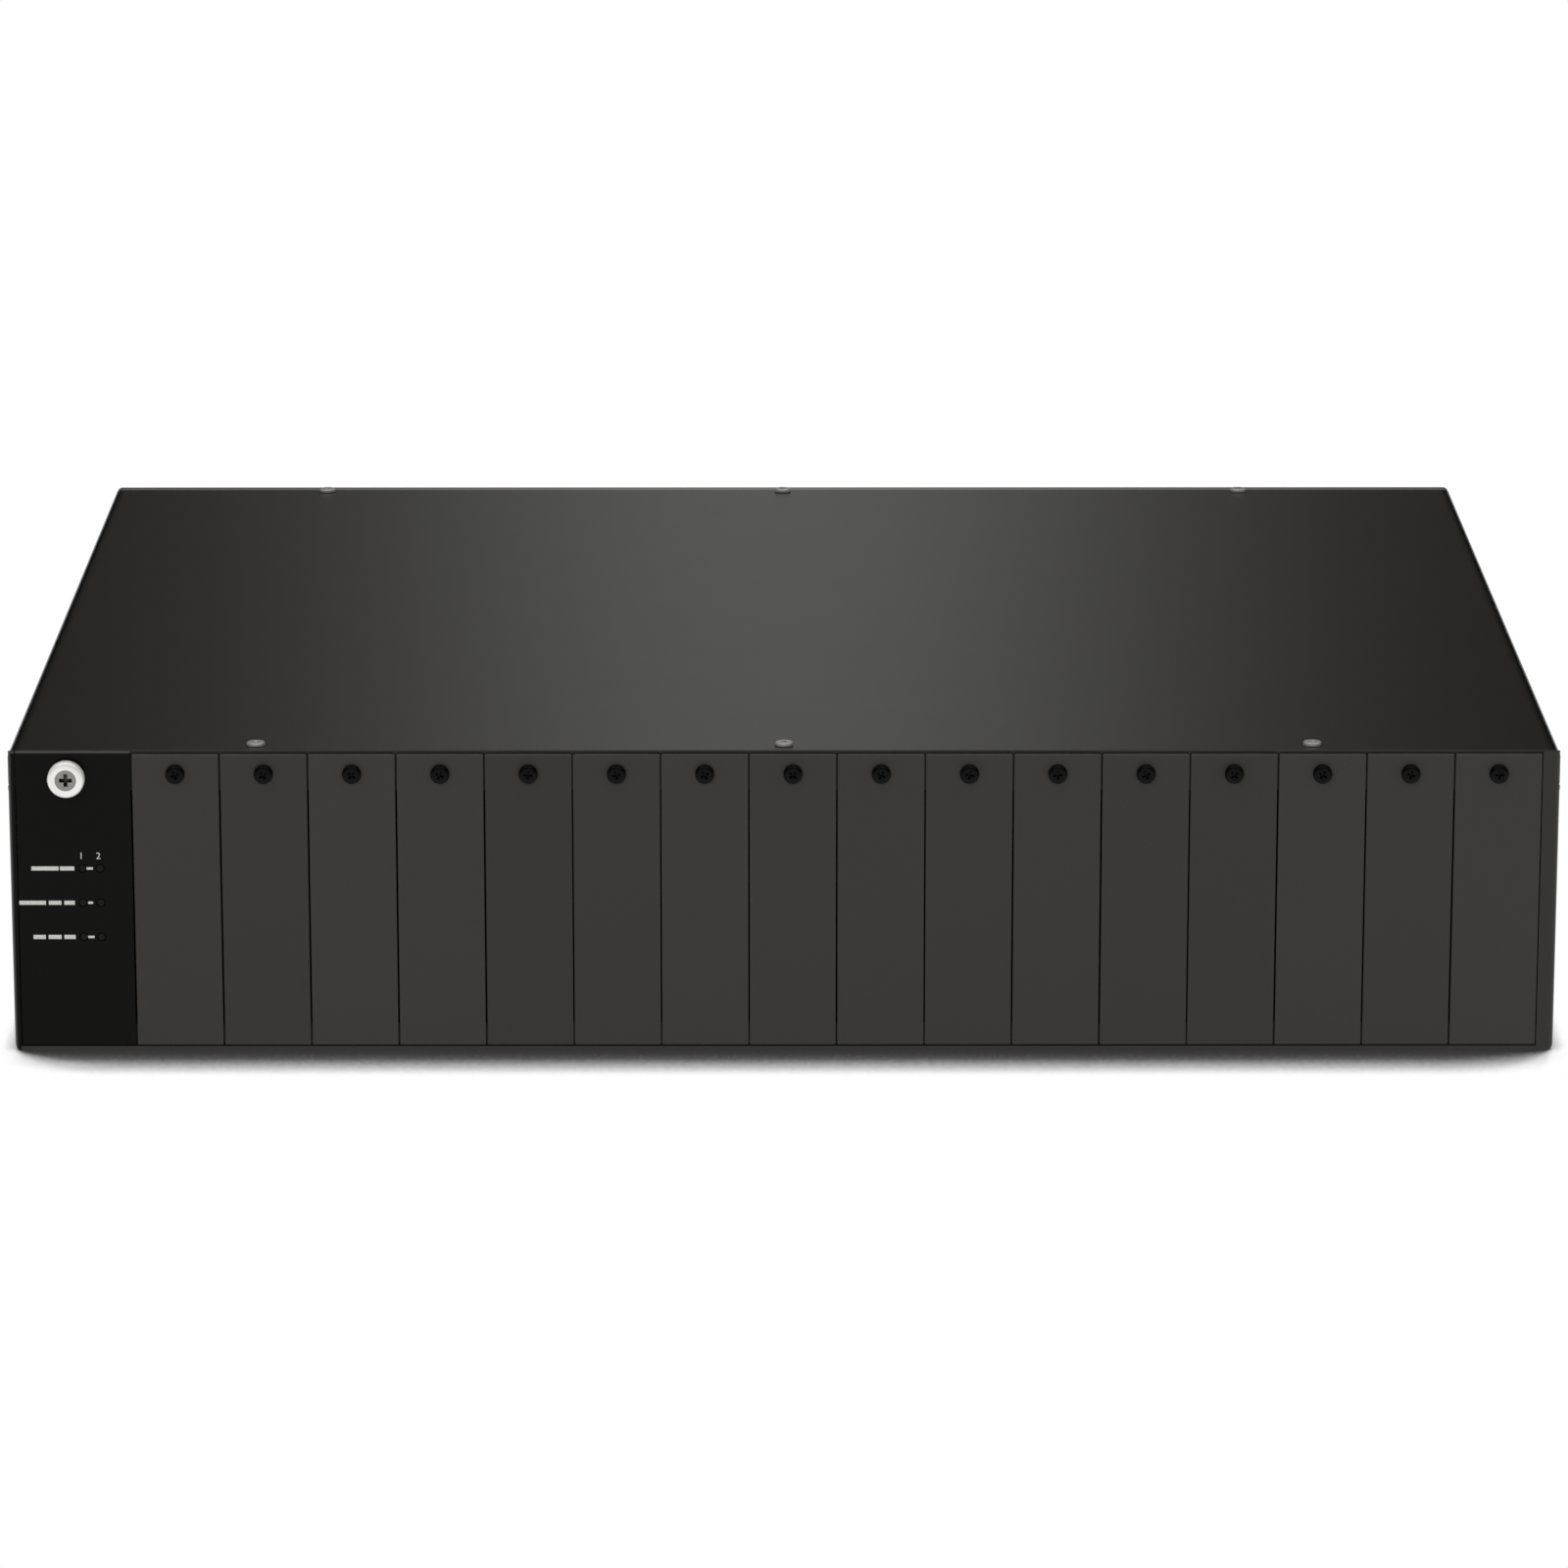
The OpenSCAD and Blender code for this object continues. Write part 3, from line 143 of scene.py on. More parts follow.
for name, place, aim, size, power in (
        ("key_softbox", (-0.9, -2.2, 1.5), (0, 0, 0.05), 1.6, 17.0),
        ("fill_softbox", (1.6, 1.8, 1.6), (0, 0, 0.05), 1.4, 9.0)):
    bpy.ops.object.light_add(type="AREA", location=place)
    lamp = bpy.context.object
    lamp.name = name
    lamp.data.shape = "DISK"
    lamp.data.size = size
    lamp.data.energy = power
    lamp.visible_glossy = False
    lamp.rotation_euler = (Vector(aim) - Vector(place)).to_track_quat("-Z", "Y").to_euler()

# White paper floor: plain white to the camera and to gloss, with the soft shadow of the chassis
# gathered from how much of the sky each point of the paper sees past it.
bpy.ops.object.select_all(action="DESELECT")
bpy.ops.mesh.primitive_plane_add(size=40, location=(0, 0, -0.0002))
floor = bpy.context.object
floor.name = "floor"
paper = bpy.data.materials.new("white_paper_floor")
paper.use_nodes = True
tree = paper.node_tree
tree.nodes.clear()
sheet = tree.nodes.new("ShaderNodeBsdfDiffuse")
sheet.inputs["Color"].default_value = (0.93, 0.93, 0.93, 1)
darkest = 0.035
shadows = []
for reach, lean, open_share, depth in ((0.037, (0, 0.87, 0.5), 0.590, 12.2),
                                       (0.006, (0, 0, 1), 0.9, 1.2)):
    towards = tree.nodes.new("ShaderNodeCombineXYZ")
    for socket, value in zip(towards.inputs, lean):
        socket.default_value = value
    shelter = tree.nodes.new("ShaderNodeAmbientOcclusion")
    shelter.samples = 16
    shelter.inputs["Distance"].default_value = reach
    tree.links.new(towards.outputs[0], shelter.inputs["Normal"])
    shadows.append(calculate(tree, "POWER", calculate(
        tree, "MINIMUM", calculate(tree, "DIVIDE", shelter.outputs["AO"], open_share), 1.0),
        depth))
path = tree.nodes.new("ShaderNodeLightPath")
glow = tree.nodes.new("ShaderNodeEmission")
gathered = calculate(tree, "MULTIPLY_ADD", calculate(tree, "MULTIPLY", *shadows), 1 - darkest,
                     darkest)
tree.links.new(calculate(tree, "MAXIMUM", path.outputs["Is Glossy Ray"], gathered),
               glow.inputs["Strength"])
seen = calculate(tree, "MAXIMUM", path.outputs["Is Camera Ray"], calculate(
    tree, "MAXIMUM", path.outputs["Is Glossy Ray"], path.outputs["Is Transmission Ray"]))
blend = tree.nodes.new("ShaderNodeMixShader")
tree.links.new(seen, blend.inputs[0])
tree.links.new(sheet.outputs[0], blend.inputs[1])
tree.links.new(glow.outputs[0], blend.inputs[2])
output = tree.nodes.new("ShaderNodeOutputMaterial")
tree.links.new(blend.outputs[0], output.inputs["Surface"])
floor.data.materials.append(paper)


# Base tray: one sheet of 1.2 mm steel bent up into a floor, two sides and the narrow front returns.
# Punched vents and holes for rack ears, warm dark grey powder coat with a fine grain and soft edges.
def new_group(name, inputs, outputs):
    """Starts a shader node group with named inputs (name, kind, value) and outputs (name, kind)."""
    group = bpy.data.node_groups.new(name, "ShaderNodeTree")
    for socket, kind, value in inputs:
        made = group.interface.new_socket(socket, in_out="INPUT", socket_type="NodeSocket" + kind)
        made.default_value = value
    for socket, kind in outputs:
        group.interface.new_socket(socket, in_out="OUTPUT", socket_type="NodeSocket" + kind)
    return (group, group.nodes.new("NodeGroupInput").outputs,
            group.nodes.new("NodeGroupOutput").inputs)


def noise(tree, scale, detail=2.0, vector=None, stretch=None):
    """A noise texture on object coordinates, stretched along an axis where asked."""
    node = tree.nodes.new("ShaderNodeTexNoise")
    if vector is None:
        vector = tree.nodes.new("ShaderNodeTexCoord").outputs["Object"]
    if stretch is not None:
        mapping = tree.nodes.new("ShaderNodeMapping")
        mapping.inputs["Scale"].default_value = stretch
        tree.links.new(vector, mapping.inputs["Vector"])
        vector = mapping.outputs[0]
    tree.links.new(vector, node.inputs["Vector"])
    if isinstance(scale, (int, float)):
        node.inputs["Scale"].default_value = scale
    else:
        tree.links.new(scale, node.inputs["Scale"])
    node.inputs["Detail"].default_value = detail
    return node.outputs["Fac"]


def spread(tree, value, low, high, to_low, to_high):
    """Maps a value from one range to another."""
    node = tree.nodes.new("ShaderNodeMapRange")
    for socket, given in zip(("Value", "From Min", "From Max", "To Min", "To Max"),
                             (value, low, high, to_low, to_high)):
        if isinstance(given, (int, float)):
            node.inputs[socket].default_value = given
        else:
            tree.links.new(given, node.inputs[socket])
    return node.outputs[0]


def blend_colours(tree, factor, first, second, mode="MIX"):
    """Mixes two colours, each given as a socket or a value."""
    node = tree.nodes.new("ShaderNodeMix")
    node.data_type = "RGBA"
    node.blend_type = mode
    for socket, given in ((node.inputs["Factor"], factor), (node.inputs[6], first),
                          (node.inputs[7], second)):
        if isinstance(given, (int, float, tuple)):
            socket.default_value = given
        else:
            tree.links.new(given, socket)
    return node.outputs[2]


powder_grain, given, wanted = new_group(
    "powder_grain",
    [("Colour", "Color", (0.05, 0.05, 0.05, 1)), ("Grain per metre", "Float", 1800.0),
     ("Cloud", "Float", 0.12), ("Roughness", "Float", 0.3), ("Roughness spread", "Float", 0.02)],
    [("Colour", "Color"), ("Roughness", "Float"), ("Height", "Float")])
fine = noise(powder_grain, given["Grain per metre"], 3.0)
broad = noise(powder_grain, 9.0, 3.0)
tone = calculate(powder_grain, "ADD", 1.0, calculate(
    powder_grain, "MULTIPLY", given["Cloud"],
    calculate(powder_grain, "ADD",
              calculate(powder_grain, "SUBTRACT", broad, 0.5),
              calculate(powder_grain, "SUBTRACT", fine, 0.5))))
shade = powder_grain.nodes.new("ShaderNodeCombineColor")
for socket in shade.inputs[:3]:
    powder_grain.links.new(tone, socket)
powder_grain.links.new(
    blend_colours(powder_grain, 1.0, given["Colour"], shade.outputs[0], "MULTIPLY"),
    wanted["Colour"])
powder_grain.links.new(
    calculate(powder_grain, "ADD", given["Roughness"], calculate(
        powder_grain, "MULTIPLY", given["Roughness spread"],
        calculate(powder_grain, "SUBTRACT", noise(powder_grain, 45.0, 4.0), 0.5))),
    wanted["Roughness"])
powder_grain.links.new(fine, wanted["Height"])


def axes(tree):
    """The object coordinates X, Y and Z as sockets."""
    parts = tree.nodes.new("ShaderNodeSeparateXYZ")
    tree.links.new(tree.nodes.new("ShaderNodeTexCoord").outputs["Object"], parts.inputs[0])
    return parts.outputs


def srgb(red, green, blue):
    """A colour from the 0 to 255 values that a screen shows."""
    straight = [c / 255 / 12.92 if c <= 10.3 else ((c / 255 + 0.055) / 1.055) ** 2.4
                for c in (red, green, blue)]
    return (*straight, 1.0)


def new_material(name):
    """A material whose shader and output are in place. Returns it, its tree and its shader."""
    material = bpy.data.materials.new(name)
    material.use_nodes = True
    return material, material.node_tree, material.node_tree.nodes["Principled BSDF"]


def add_bump(tree, shader, height, strength, distance):
    """Feeds a height through a Bump node into the shader's normal."""
    bump = tree.nodes.new("ShaderNodeBump")
    bump.inputs["Strength"].default_value = strength
    bump.inputs["Distance"].default_value = distance
    tree.links.new(height, bump.inputs["Height"])
    tree.links.new(bump.outputs[0], shader.inputs["Normal"])


def place_group(tree, group, **values):
    """Places a node group in a material and sets its inputs by name."""
    node = tree.nodes.new("ShaderNodeGroup")
    node.node_tree = group
    for name, value in values.items():
        node.inputs[name.replace("_", " ")].default_value = value
    return node


def powder_coat(name, colour, roughness, cloud=0.1, grain=1800.0, bump=0.08, specular=0.35):
    """Baked powder coat: an even satin skin over a very fine grain."""
    material, tree, shader = new_material(name)
    skin = place_group(tree, powder_grain, Colour=colour, Cloud=cloud, Roughness=roughness)
    skin.inputs["Grain per metre"].default_value = grain
    tree.links.new(skin.outputs["Colour"], shader.inputs["Base Color"])
    tree.links.new(skin.outputs["Roughness"], shader.inputs["Roughness"])
    shader.inputs["Specular IOR Level"].default_value = specular
    add_bump(tree, shader, skin.outputs["Height"], bump, 0.00002)
    return material


def finished_copy(node, name, edge, segments=2, clamp=False, without=None):
    """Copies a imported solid, welds its triangles, joins its flat faces and rounds its cut edges.

    without is a test for faces of a solid of the same node that is left to a piece of its own.
    """
    piece = bpy.data.objects.new(name, nodes[node].data.copy())
    bpy.context.scene.collection.objects.link(piece)
    piece.data.materials.clear()
    bpy.ops.object.select_all(action="DESELECT")
    piece.select_set(True)
    bpy.context.view_layer.objects.active = piece
    bpy.ops.object.mode_set(mode="EDIT")
    bpy.ops.mesh.select_all(action="SELECT")
    bpy.ops.mesh.remove_doubles(threshold=0.000002)
    if without:
        choose_faces(without)
        bpy.ops.mesh.select_linked()
        bpy.ops.mesh.delete(type="FACE")
        bpy.ops.mesh.select_all(action="SELECT")
    bpy.ops.mesh.dissolve_limited(angle_limit=math.radians(0.6))
    bpy.ops.object.mode_set(mode="OBJECT")
    round_edges(piece, edge, segments, clamp)
    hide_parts(node)
    return piece


def round_edges(piece, edge, segments=2, clamp=False):
    """Breaks the sharp edges of a piece and keeps its flats flat."""
    bpy.context.view_layer.objects.active = piece
    bevel = piece.modifiers.new("edges", "BEVEL")
    bevel.width = edge
    bevel.segments = segments
    bevel.limit_method = "ANGLE"
    bevel.angle_limit = math.radians(40)
    bevel.use_clamp_overlap = clamp
    bpy.ops.object.modifier_apply(modifier=bevel.name)
    smooth(piece)


def smooth(piece, angle=40):
    """Shades a piece smooth up to an angle, with normals led by its large faces."""
    bpy.ops.object.select_all(action="DESELECT")
    piece.select_set(True)
    bpy.context.view_layer.objects.active = piece
    bpy.ops.object.shade_smooth_by_angle(angle=math.radians(angle))
    weighted = piece.modifiers.new("flats", "WEIGHTED_NORMAL")
    weighted.keep_sharp = True
    bpy.ops.object.modifier_apply(modifier=weighted.name)


sheared_edge = 0.00025
body_grey = srgb(31, 29.5, 26.5)
body_coat = powder_coat("body_powder_coat", body_grey, 0.34)
tray = finished_copy("base_tray", "base_tray_sheet", sheared_edge, clamp=True)
tray.data.materials.append(body_coat)
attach(tray, "chassis")

# Front frame: a flat steel frame behind the slots, with flanges all round, where the plates screw on.
# Satin black paint; only a hairline of it shows in the gaps between the front plates.
def dress(node, material):
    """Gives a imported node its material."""
    nodes[node].data.materials.clear()
    nodes[node].data.materials.append(material)


frame_coat = powder_coat("frame_satin_black", srgb(16, 16, 15), 0.5, bump=0.08)
dress("front_frame", frame_coat)

# Rear panel: a steel sheet with the fans' openings, two bay openings and screw holes, flanged above
# and below. The tray's powder coat covers its cut edges too.
rear = finished_copy("rear_panel", "rear_panel_sheet", sheared_edge)
rear.data.materials.append(body_coat)
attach(rear, "chassis")


# Card guides: two black moulded racks, below and above, with a groove for each of the 17 boards.
# Glass-filled nylon, dull, with a faint moulding texture and paler rubbed spots.
moulding_skin, given, wanted = new_group(
    "moulding_skin",
    [("Colour", "Color", (0.02, 0.02, 0.02, 1)), ("Texture per metre", "Float", 900.0),
     ("Rub", "Float", 0.1), ("Roughness", "Float", 0.5)],
    [("Colour", "Color"), ("Roughness", "Float"), ("Height", "Float")])
pebble = noise(moulding_skin, given["Texture per metre"], 2.0)
rubbed = noise(moulding_skin, 60.0, 5.0)
moulding_skin.links.new(
    blend_colours(moulding_skin, calculate(moulding_skin, "MULTIPLY", rubbed, given["Rub"]),
                  given["Colour"], (0.35, 0.35, 0.34, 1)), wanted["Colour"])
moulding_skin.links.new(
    calculate(moulding_skin, "ADD", given["Roughness"], calculate(
        moulding_skin, "MULTIPLY", calculate(moulding_skin, "SUBTRACT", rubbed, 0.5), 0.25)),
    wanted["Roughness"])
moulding_skin.links.new(pebble, wanted["Height"])


def moulded(name, colour, roughness, rub=0.03, texture=900.0, bump=0.15):
    """Moulded plastic with a fine spark-eroded texture."""
    material, tree, shader = new_material(name)
    skin = place_group(tree, moulding_skin, Colour=colour, Rub=rub, Roughness=roughness)
    skin.inputs["Texture per metre"].default_value = texture
    tree.links.new(skin.outputs["Colour"], shader.inputs["Base Color"])
    tree.links.new(skin.outputs["Roughness"], shader.inputs["Roughness"])
    add_bump(tree, shader, skin.outputs["Height"], bump, 0.00004)
    return material


guide_nylon = moulded("guide_nylon", srgb(30, 30, 30), 0.55)
dress("lower_card_guide", guide_nylon)
dress("upper_card_guide", guide_nylon)


# Midplane board: a green glass-fibre board across the chassis that carries power to the cards.
# Solder mask with copper tracks under it, and rows of tinned pads.
def solder_mask(name, colour, track, across):
    """A lacquered circuit board with tracks and pads. across are the axes of its face."""
    material, tree, shader = new_material(name)
    face = tree.nodes.new("ShaderNodeCombineXYZ")
    for socket, axis in zip(face.inputs, across):
        tree.links.new(axes(tree)[axis], socket)
    bricks = tree.nodes.new("ShaderNodeTexBrick")
    tree.links.new(face.outputs[0], bricks.inputs["Vector"])
    bricks.inputs["Scale"].default_value = 130.0
    bricks.inputs["Mortar Size"].default_value = 0.045
    bricks.inputs["Brick Width"].default_value = 3.7
    bricks.inputs["Row Height"].default_value = 0.4
    bricks.inputs["Color1"].default_value = (0, 0, 0, 1)
    bricks.inputs["Color2"].default_value = (0, 0, 0, 1)
    bricks.inputs["Mortar"].default_value = (1, 1, 1, 1)
    pads = tree.nodes.new("ShaderNodeTexVoronoi")
    tree.links.new(face.outputs[0], pads.inputs["Vector"])
    pads.inputs["Scale"].default_value = 220.0
    pads.inputs["Randomness"].default_value = 0.55
    pad = calculate(tree, "LESS_THAN", pads.outputs["Distance"], 0.17)
    lacquer = blend_colours(tree, bricks.outputs["Color"], colour, track)
    tree.links.new(blend_colours(tree, pad, lacquer, (0.55, 0.54, 0.5, 1)),
                   shader.inputs["Base Color"])
    tree.links.new(calculate(tree, "MULTIPLY", pad, 0.9), shader.inputs["Metallic"])
    tree.links.new(spread(tree, noise(tree, 160.0), 0.3, 0.7, 0.28, 0.42),
                   shader.inputs["Roughness"])
    add_bump(tree, shader, calculate(tree, "ADD", pad, calculate(
        tree, "MULTIPLY", bricks.outputs["Fac"], 0.5)), 0.4, 0.00004)
    return material


dress("midplane_board", solder_mask("midplane_solder_mask", srgb(24, 74, 44), srgb(44, 104, 66),
                                    (0, 2)))

# Card connectors: 17 upright sockets in ivory moulding on the midplane's front, one for each board.
# The plug and socket housings behind the midplane are the black kind of the same moulding.
dress("card_plugs", moulded("connector_ivory_moulding", srgb(214, 206, 184), 0.42, 0.02))
connector_black = moulded("connector_black_moulding", srgb(22, 22, 22), 0.4)
dress("rear_sockets", connector_black)
dress("psu_plug", connector_black)


# Midplane brackets and bay guides: folded galvanised sheet, bare, fixed to the tray by spot welds.
# The zinc shows its broad crystals, each a slightly different grey, dulled by handling.
def galvanised(name, colour, crystal=95.0, contrast=0.3):
    """Hot-dip galvanised sheet with its spangle."""
    material, tree, shader = new_material(name)
    place = tree.nodes.new("ShaderNodeTexCoord").outputs["Object"]
    cells = tree.nodes.new("ShaderNodeTexVoronoi")
    tree.links.new(place, cells.inputs["Vector"])
    cells.inputs["Scale"].default_value = crystal
    grey = tree.nodes.new("ShaderNodeRGBToBW")
    tree.links.new(cells.outputs["Color"], grey.inputs[0])
    dull = tuple(c * (1 - contrast) for c in colour[:3]) + (1.0,)
    tree.links.new(blend_colours(tree, grey.outputs[0], dull, colour),
                   shader.inputs["Base Color"])
    shader.inputs["Metallic"].default_value = 0.85
    tree.links.new(spread(tree, grey.outputs[0], 0.0, 1.0, 0.34, 0.5), shader.inputs["Roughness"])
    add_bump(tree, shader, noise(tree, 700.0, 2.0, place), 0.1, 0.00003)
    return material


zinc_sheet = galvanised("galvanised_sheet", srgb(178, 180, 181))
for node in ("midplane_brackets", "bay_1_guide", "bay_2_guide", "indicator_brackets"):
    dress(node, zinc_sheet)


# Fans: two 80 mm axial fans behind the rear panel, each a square black frame round a seven-blade
# rotor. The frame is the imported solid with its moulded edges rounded.
fan_black = moulded("fan_frame_moulding", srgb(28, 28, 28), 0.46)
for number in (1, 2):
    shell = finished_copy(f"fan_{number}_frame", f"fan_{number}_housing", 0.0004)
    shell.data.materials.append(fan_black)
    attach(shell, "chassis")


# Fan rotors: a cup-shaped hub on a steel pin with seven curved blades, moulded in one.
# Each blade is a thin strip bent along its chord and turned from root to tip.
def choose_faces(test):
    """Selects the faces of the piece in edit mode whose centre and normal pass the test."""
    mesh = bmesh.from_edit_mesh(bpy.context.edit_object.data)
    bpy.ops.mesh.select_mode(type="FACE")
    bpy.ops.mesh.select_all(action="DESELECT")
    for face in mesh.faces:
        if test(face.calc_center_median(), face.normal):
            face.select_set(True)
    bmesh.update_edit_mesh(bpy.context.edit_object.data)


def start_edit(name):
    """Names the primitive just added and opens it in edit mode."""
    bpy.context.object.name = name
    bpy.context.object.data.name = name
    bpy.ops.object.mode_set(mode="EDIT")
    return bpy.context.object


def join(pieces, name):
    """Joins pieces into the first one."""
    bpy.ops.object.select_all(action="DESELECT")
    for piece in pieces:
        piece.select_set(True)
    bpy.context.view_layer.objects.active = pieces[0]
    if len(pieces) > 1:
        bpy.ops.object.join()
    pieces[0].name = name
    pieces[0].data.name = name
    return pieces[0]


def settle(piece):
    """Puts a piece's place into its mesh, so that its object sits at the origin."""
    bpy.ops.object.select_all(action="DESELECT")
    piece.select_set(True)
    bpy.context.view_layer.objects.active = piece
    bpy.ops.object.transform_apply(location=True, rotation=True, scale=True)


rotor_black = moulded("rotor_moulding", srgb(34, 34, 35), 0.38)
blade_count, rotor_depth, blade_wall = 7, 0.0202, 0.0013
for number in (1, 2):
    low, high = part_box(f"fan_{number}_rotor")
    middle = (low + high) / 2
    reach = (high.x - low.x) / 2
    hub = reach * 0.45
    front, back = low.y, low.y + rotor_depth
    bpy.ops.object.select_all(action="DESELECT")
    bpy.ops.mesh.primitive_cylinder_add(vertices=64, radius=hub, depth=back - front,
                                        location=(middle.x, (front + back) / 2, middle.z),
                                        rotation=(math.radians(90), 0, 0))
    cup = start_edit(f"fan_{number}_hub")
    choose_faces(lambda c, n: abs(n.z) > 0.9)
    bpy.ops.mesh.bevel(offset=0.0018, segments=4)
    choose_faces(lambda c, n: n.z < -0.9)
    bpy.ops.mesh.inset(thickness=0.0035)
    bpy.ops.mesh.extrude_region_move(TRANSFORM_OT_translate={"value": (0, -0.0006, 0)})
    bpy.ops.object.mode_set(mode="OBJECT")
    parts = [cup]
    for index in range(blade_count):
        bpy.ops.object.select_all(action="DESELECT")
        bpy.ops.mesh.primitive_grid_add(x_subdivisions=12, y_subdivisions=8, size=1,
                                        location=(0, 0, 0))
        blade = start_edit(f"fan_{number}_blade_{index + 1}")
        mesh = bmesh.from_edit_mesh(blade.data)
        # The strip's X runs along the blade's chord and its Y from the hub to the tip.
        for point in mesh.verts:
            along, out = point.co.x, point.co.y + 0.5
            radius = hub * 0.93 + (reach - hub * 0.93) * out
            turn = math.radians(46 - 16 * out)
            chord = 0.0225 + 0.006 * out
            bow = 0.0032 * (1 - (2 * along) ** 2)
            side = along * chord * math.cos(turn) + bow * math.sin(turn) - 0.003 * out
            depth = along * chord * math.sin(turn) - bow * math.cos(turn)
            depth = max(-0.0098, min(0.0098, depth))
            angle = math.radians(360 / blade_count * index) + side / max(radius, 0.018)
            point.co = Vector((middle.x + radius * math.sin(angle), (front + back) / 2 + depth,
                               middle.z + radius * math.cos(angle)))
        bmesh.update_edit_mesh(blade.data)
        bpy.ops.object.mode_set(mode="OBJECT")
        skin = blade.modifiers.new("wall", "SOLIDIFY")
        skin.thickness = blade_wall
        skin.offset = 0
        bpy.ops.object.modifier_apply(modifier=skin.name)
        parts.append(blade)
    rotor = join(parts, f"fan_{number}_rotor_moulding")
    settle(rotor)
    smooth(rotor, 45)
    rotor.data.materials.append(rotor_black)
    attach(rotor, f"fan_{number}_rotor")
    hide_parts(f"fan_{number}_rotor")


# Fan guards: four rings of 1.6 mm steel wire on crossing spokes, with an eyelet at each screw.
# Welded, then bright nickel-chrome plated.
turned_lines, given, wanted = new_group(
    "turned_lines",
    [("Colour", "Color", (0.7, 0.7, 0.7, 1)), ("Lines per metre", "Float", 1500.0),
     ("Stain", "Float", 0.2), ("Roughness", "Float", 0.2)],
    [("Colour", "Color"), ("Roughness", "Float"), ("Height", "Float")])
stain = noise(turned_lines, 130.0, 4.0)
lines = noise(turned_lines, given["Lines per metre"], 1.0)
turned_lines.links.new(
    blend_colours(turned_lines, calculate(turned_lines, "MULTIPLY", stain, given["Stain"]),
                  given["Colour"], (0.25, 0.24, 0.23, 1)), wanted["Colour"])
turned_lines.links.new(
    calculate(turned_lines, "ADD", given["Roughness"], calculate(
        turned_lines, "MULTIPLY", stain, 0.15)), wanted["Roughness"])
turned_lines.links.new(lines, wanted["Height"])


def plated(name, colour, roughness, stain=0.15, bump=0.05, metallic=1.0):
    """Plated or bare metal with fine working marks and a slight film on it."""
    material, tree, shader = new_material(name)
    skin = place_group(tree, turned_lines, Colour=colour, Stain=stain, Roughness=roughness)
    tree.links.new(skin.outputs["Colour"], shader.inputs["Base Color"])
    tree.links.new(skin.outputs["Roughness"], shader.inputs["Roughness"])
    shader.inputs["Metallic"].default_value = metallic
    add_bump(tree, shader, skin.outputs["Height"], bump, 0.00003)
    return material


bright_wire = plated("guard_wire_chrome", (0.78, 0.78, 0.78, 1), 0.12)
dress("fan_guards", bright_wire)


# Screws of the fans and the cover: small pan heads with a cross recess pressed into a low dome.
# Black oxide at the fans, dull nickel on the cover; each group is one piece.
def screw(name, head_radius, head_height, shank_radius, shank_length, sides=36, recess=0.62):
    """A pan-head screw along +Z with its seat at z = 0."""
    bpy.ops.object.select_all(action="DESELECT")
    bpy.ops.mesh.primitive_cylinder_add(vertices=sides, radius=head_radius, depth=head_height,
                                        location=(0, 0, head_height / 2))
    head = start_edit(name)
    choose_faces(lambda c, n: n.z > 0.9)
    bpy.ops.mesh.bevel(offset=head_height * 0.5, segments=5)
    choose_faces(lambda c, n: n.z < -0.9)
    bpy.ops.mesh.inset(thickness=head_radius - shank_radius)
    bpy.ops.mesh.extrude_region_move(TRANSFORM_OT_translate={"value": (0, 0, -shank_length)})
    bpy.ops.object.mode_set(mode="OBJECT")
    settle(head)
    press_cross(head, head_radius * recess, head_radius * 0.26, head_height * 0.55, head_height)
    smooth(head, 40)
    return head


def press_cross(head, reach, width, depth, top):
    """Presses a tapered cross recess into the top of a head."""
    for turn in (0, 90):
        bpy.ops.object.select_all(action="DESELECT")
        bpy.ops.mesh.primitive_cube_add(size=1, location=(0, 0, top),
                                        scale=(2 * reach, width, 2 * depth))
        punch = start_edit("punch")
        choose_faces(lambda c, n: n.z < -0.9)
        bpy.ops.transform.resize(value=(0.45, 0.8, 1))
        bpy.ops.object.mode_set(mode="OBJECT")
        punch.rotation_euler.z = math.radians(turn)
        settle(punch)
        for finish in head.data.materials:
            punch.data.materials.append(finish)
        for face in punch.data.polygons:
            face.material_index = max(len(head.data.materials) - 1, 0)
        bpy.context.view_layer.objects.active = head
        cut = head.modifiers.new("recess", "BOOLEAN")
        cut.operation = "DIFFERENCE"
        cut.solver = "EXACT"
        cut.object = punch
        bpy.ops.object.modifier_apply(modifier=cut.name)
        bpy.data.objects.remove(punch)


def placed_copies(model, name, places, facing):
    """Copies a piece made along +Z to each place, each copy with its own mesh, and joins them."""
    turn = {"up": Matrix.Identity(4), "front": Matrix.Rotation(math.radians(90), 4, "X"),
            "rear": Matrix.Rotation(math.radians(-90), 4, "X")}[facing]
    copies = []
    for index, (place, spin) in enumerate(places):
        twin = bpy.data.objects.new(f"{name}_{index}", model.data.copy())
        bpy.context.scene.collection.objects.link(twin)
        twin.matrix_world = (Matrix.Translation(place) @ turn
                             @ Matrix.Rotation(math.radians(spin), 4, "Z"))
        settle(twin)
        copies.append(twin)
    return join(copies, name)


nickel = plated("nickel_plate", (0.44, 0.43, 0.41, 1), 0.3, metallic=0.6)
seat_gap = 0.0001
low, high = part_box("top_cover")
front_row, rear_row = low.y + 0.0062, high.y - 0.0064
pattern = screw("cover_screw_pattern", head_radius=0.0026, head_height=0.0009,
                shank_radius=0.0015, shank_length=0.0043)
column = 0.150
cover_screws = placed_copies(
    pattern, "cover_screw_set",
    [(Vector((x, y, high.z + seat_gap)), spin) for x, y, spin in (
        (-column, front_row, 8), (0, front_row, 40), (column, front_row, 75),
        (-column, rear_row, 20), (0, rear_row, 63), (column, rear_row, 32))], "up")
bpy.data.objects.remove(pattern)
cover_screws.data.materials.append(nickel)
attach(cover_screws, "cover")
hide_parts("cover_screws")

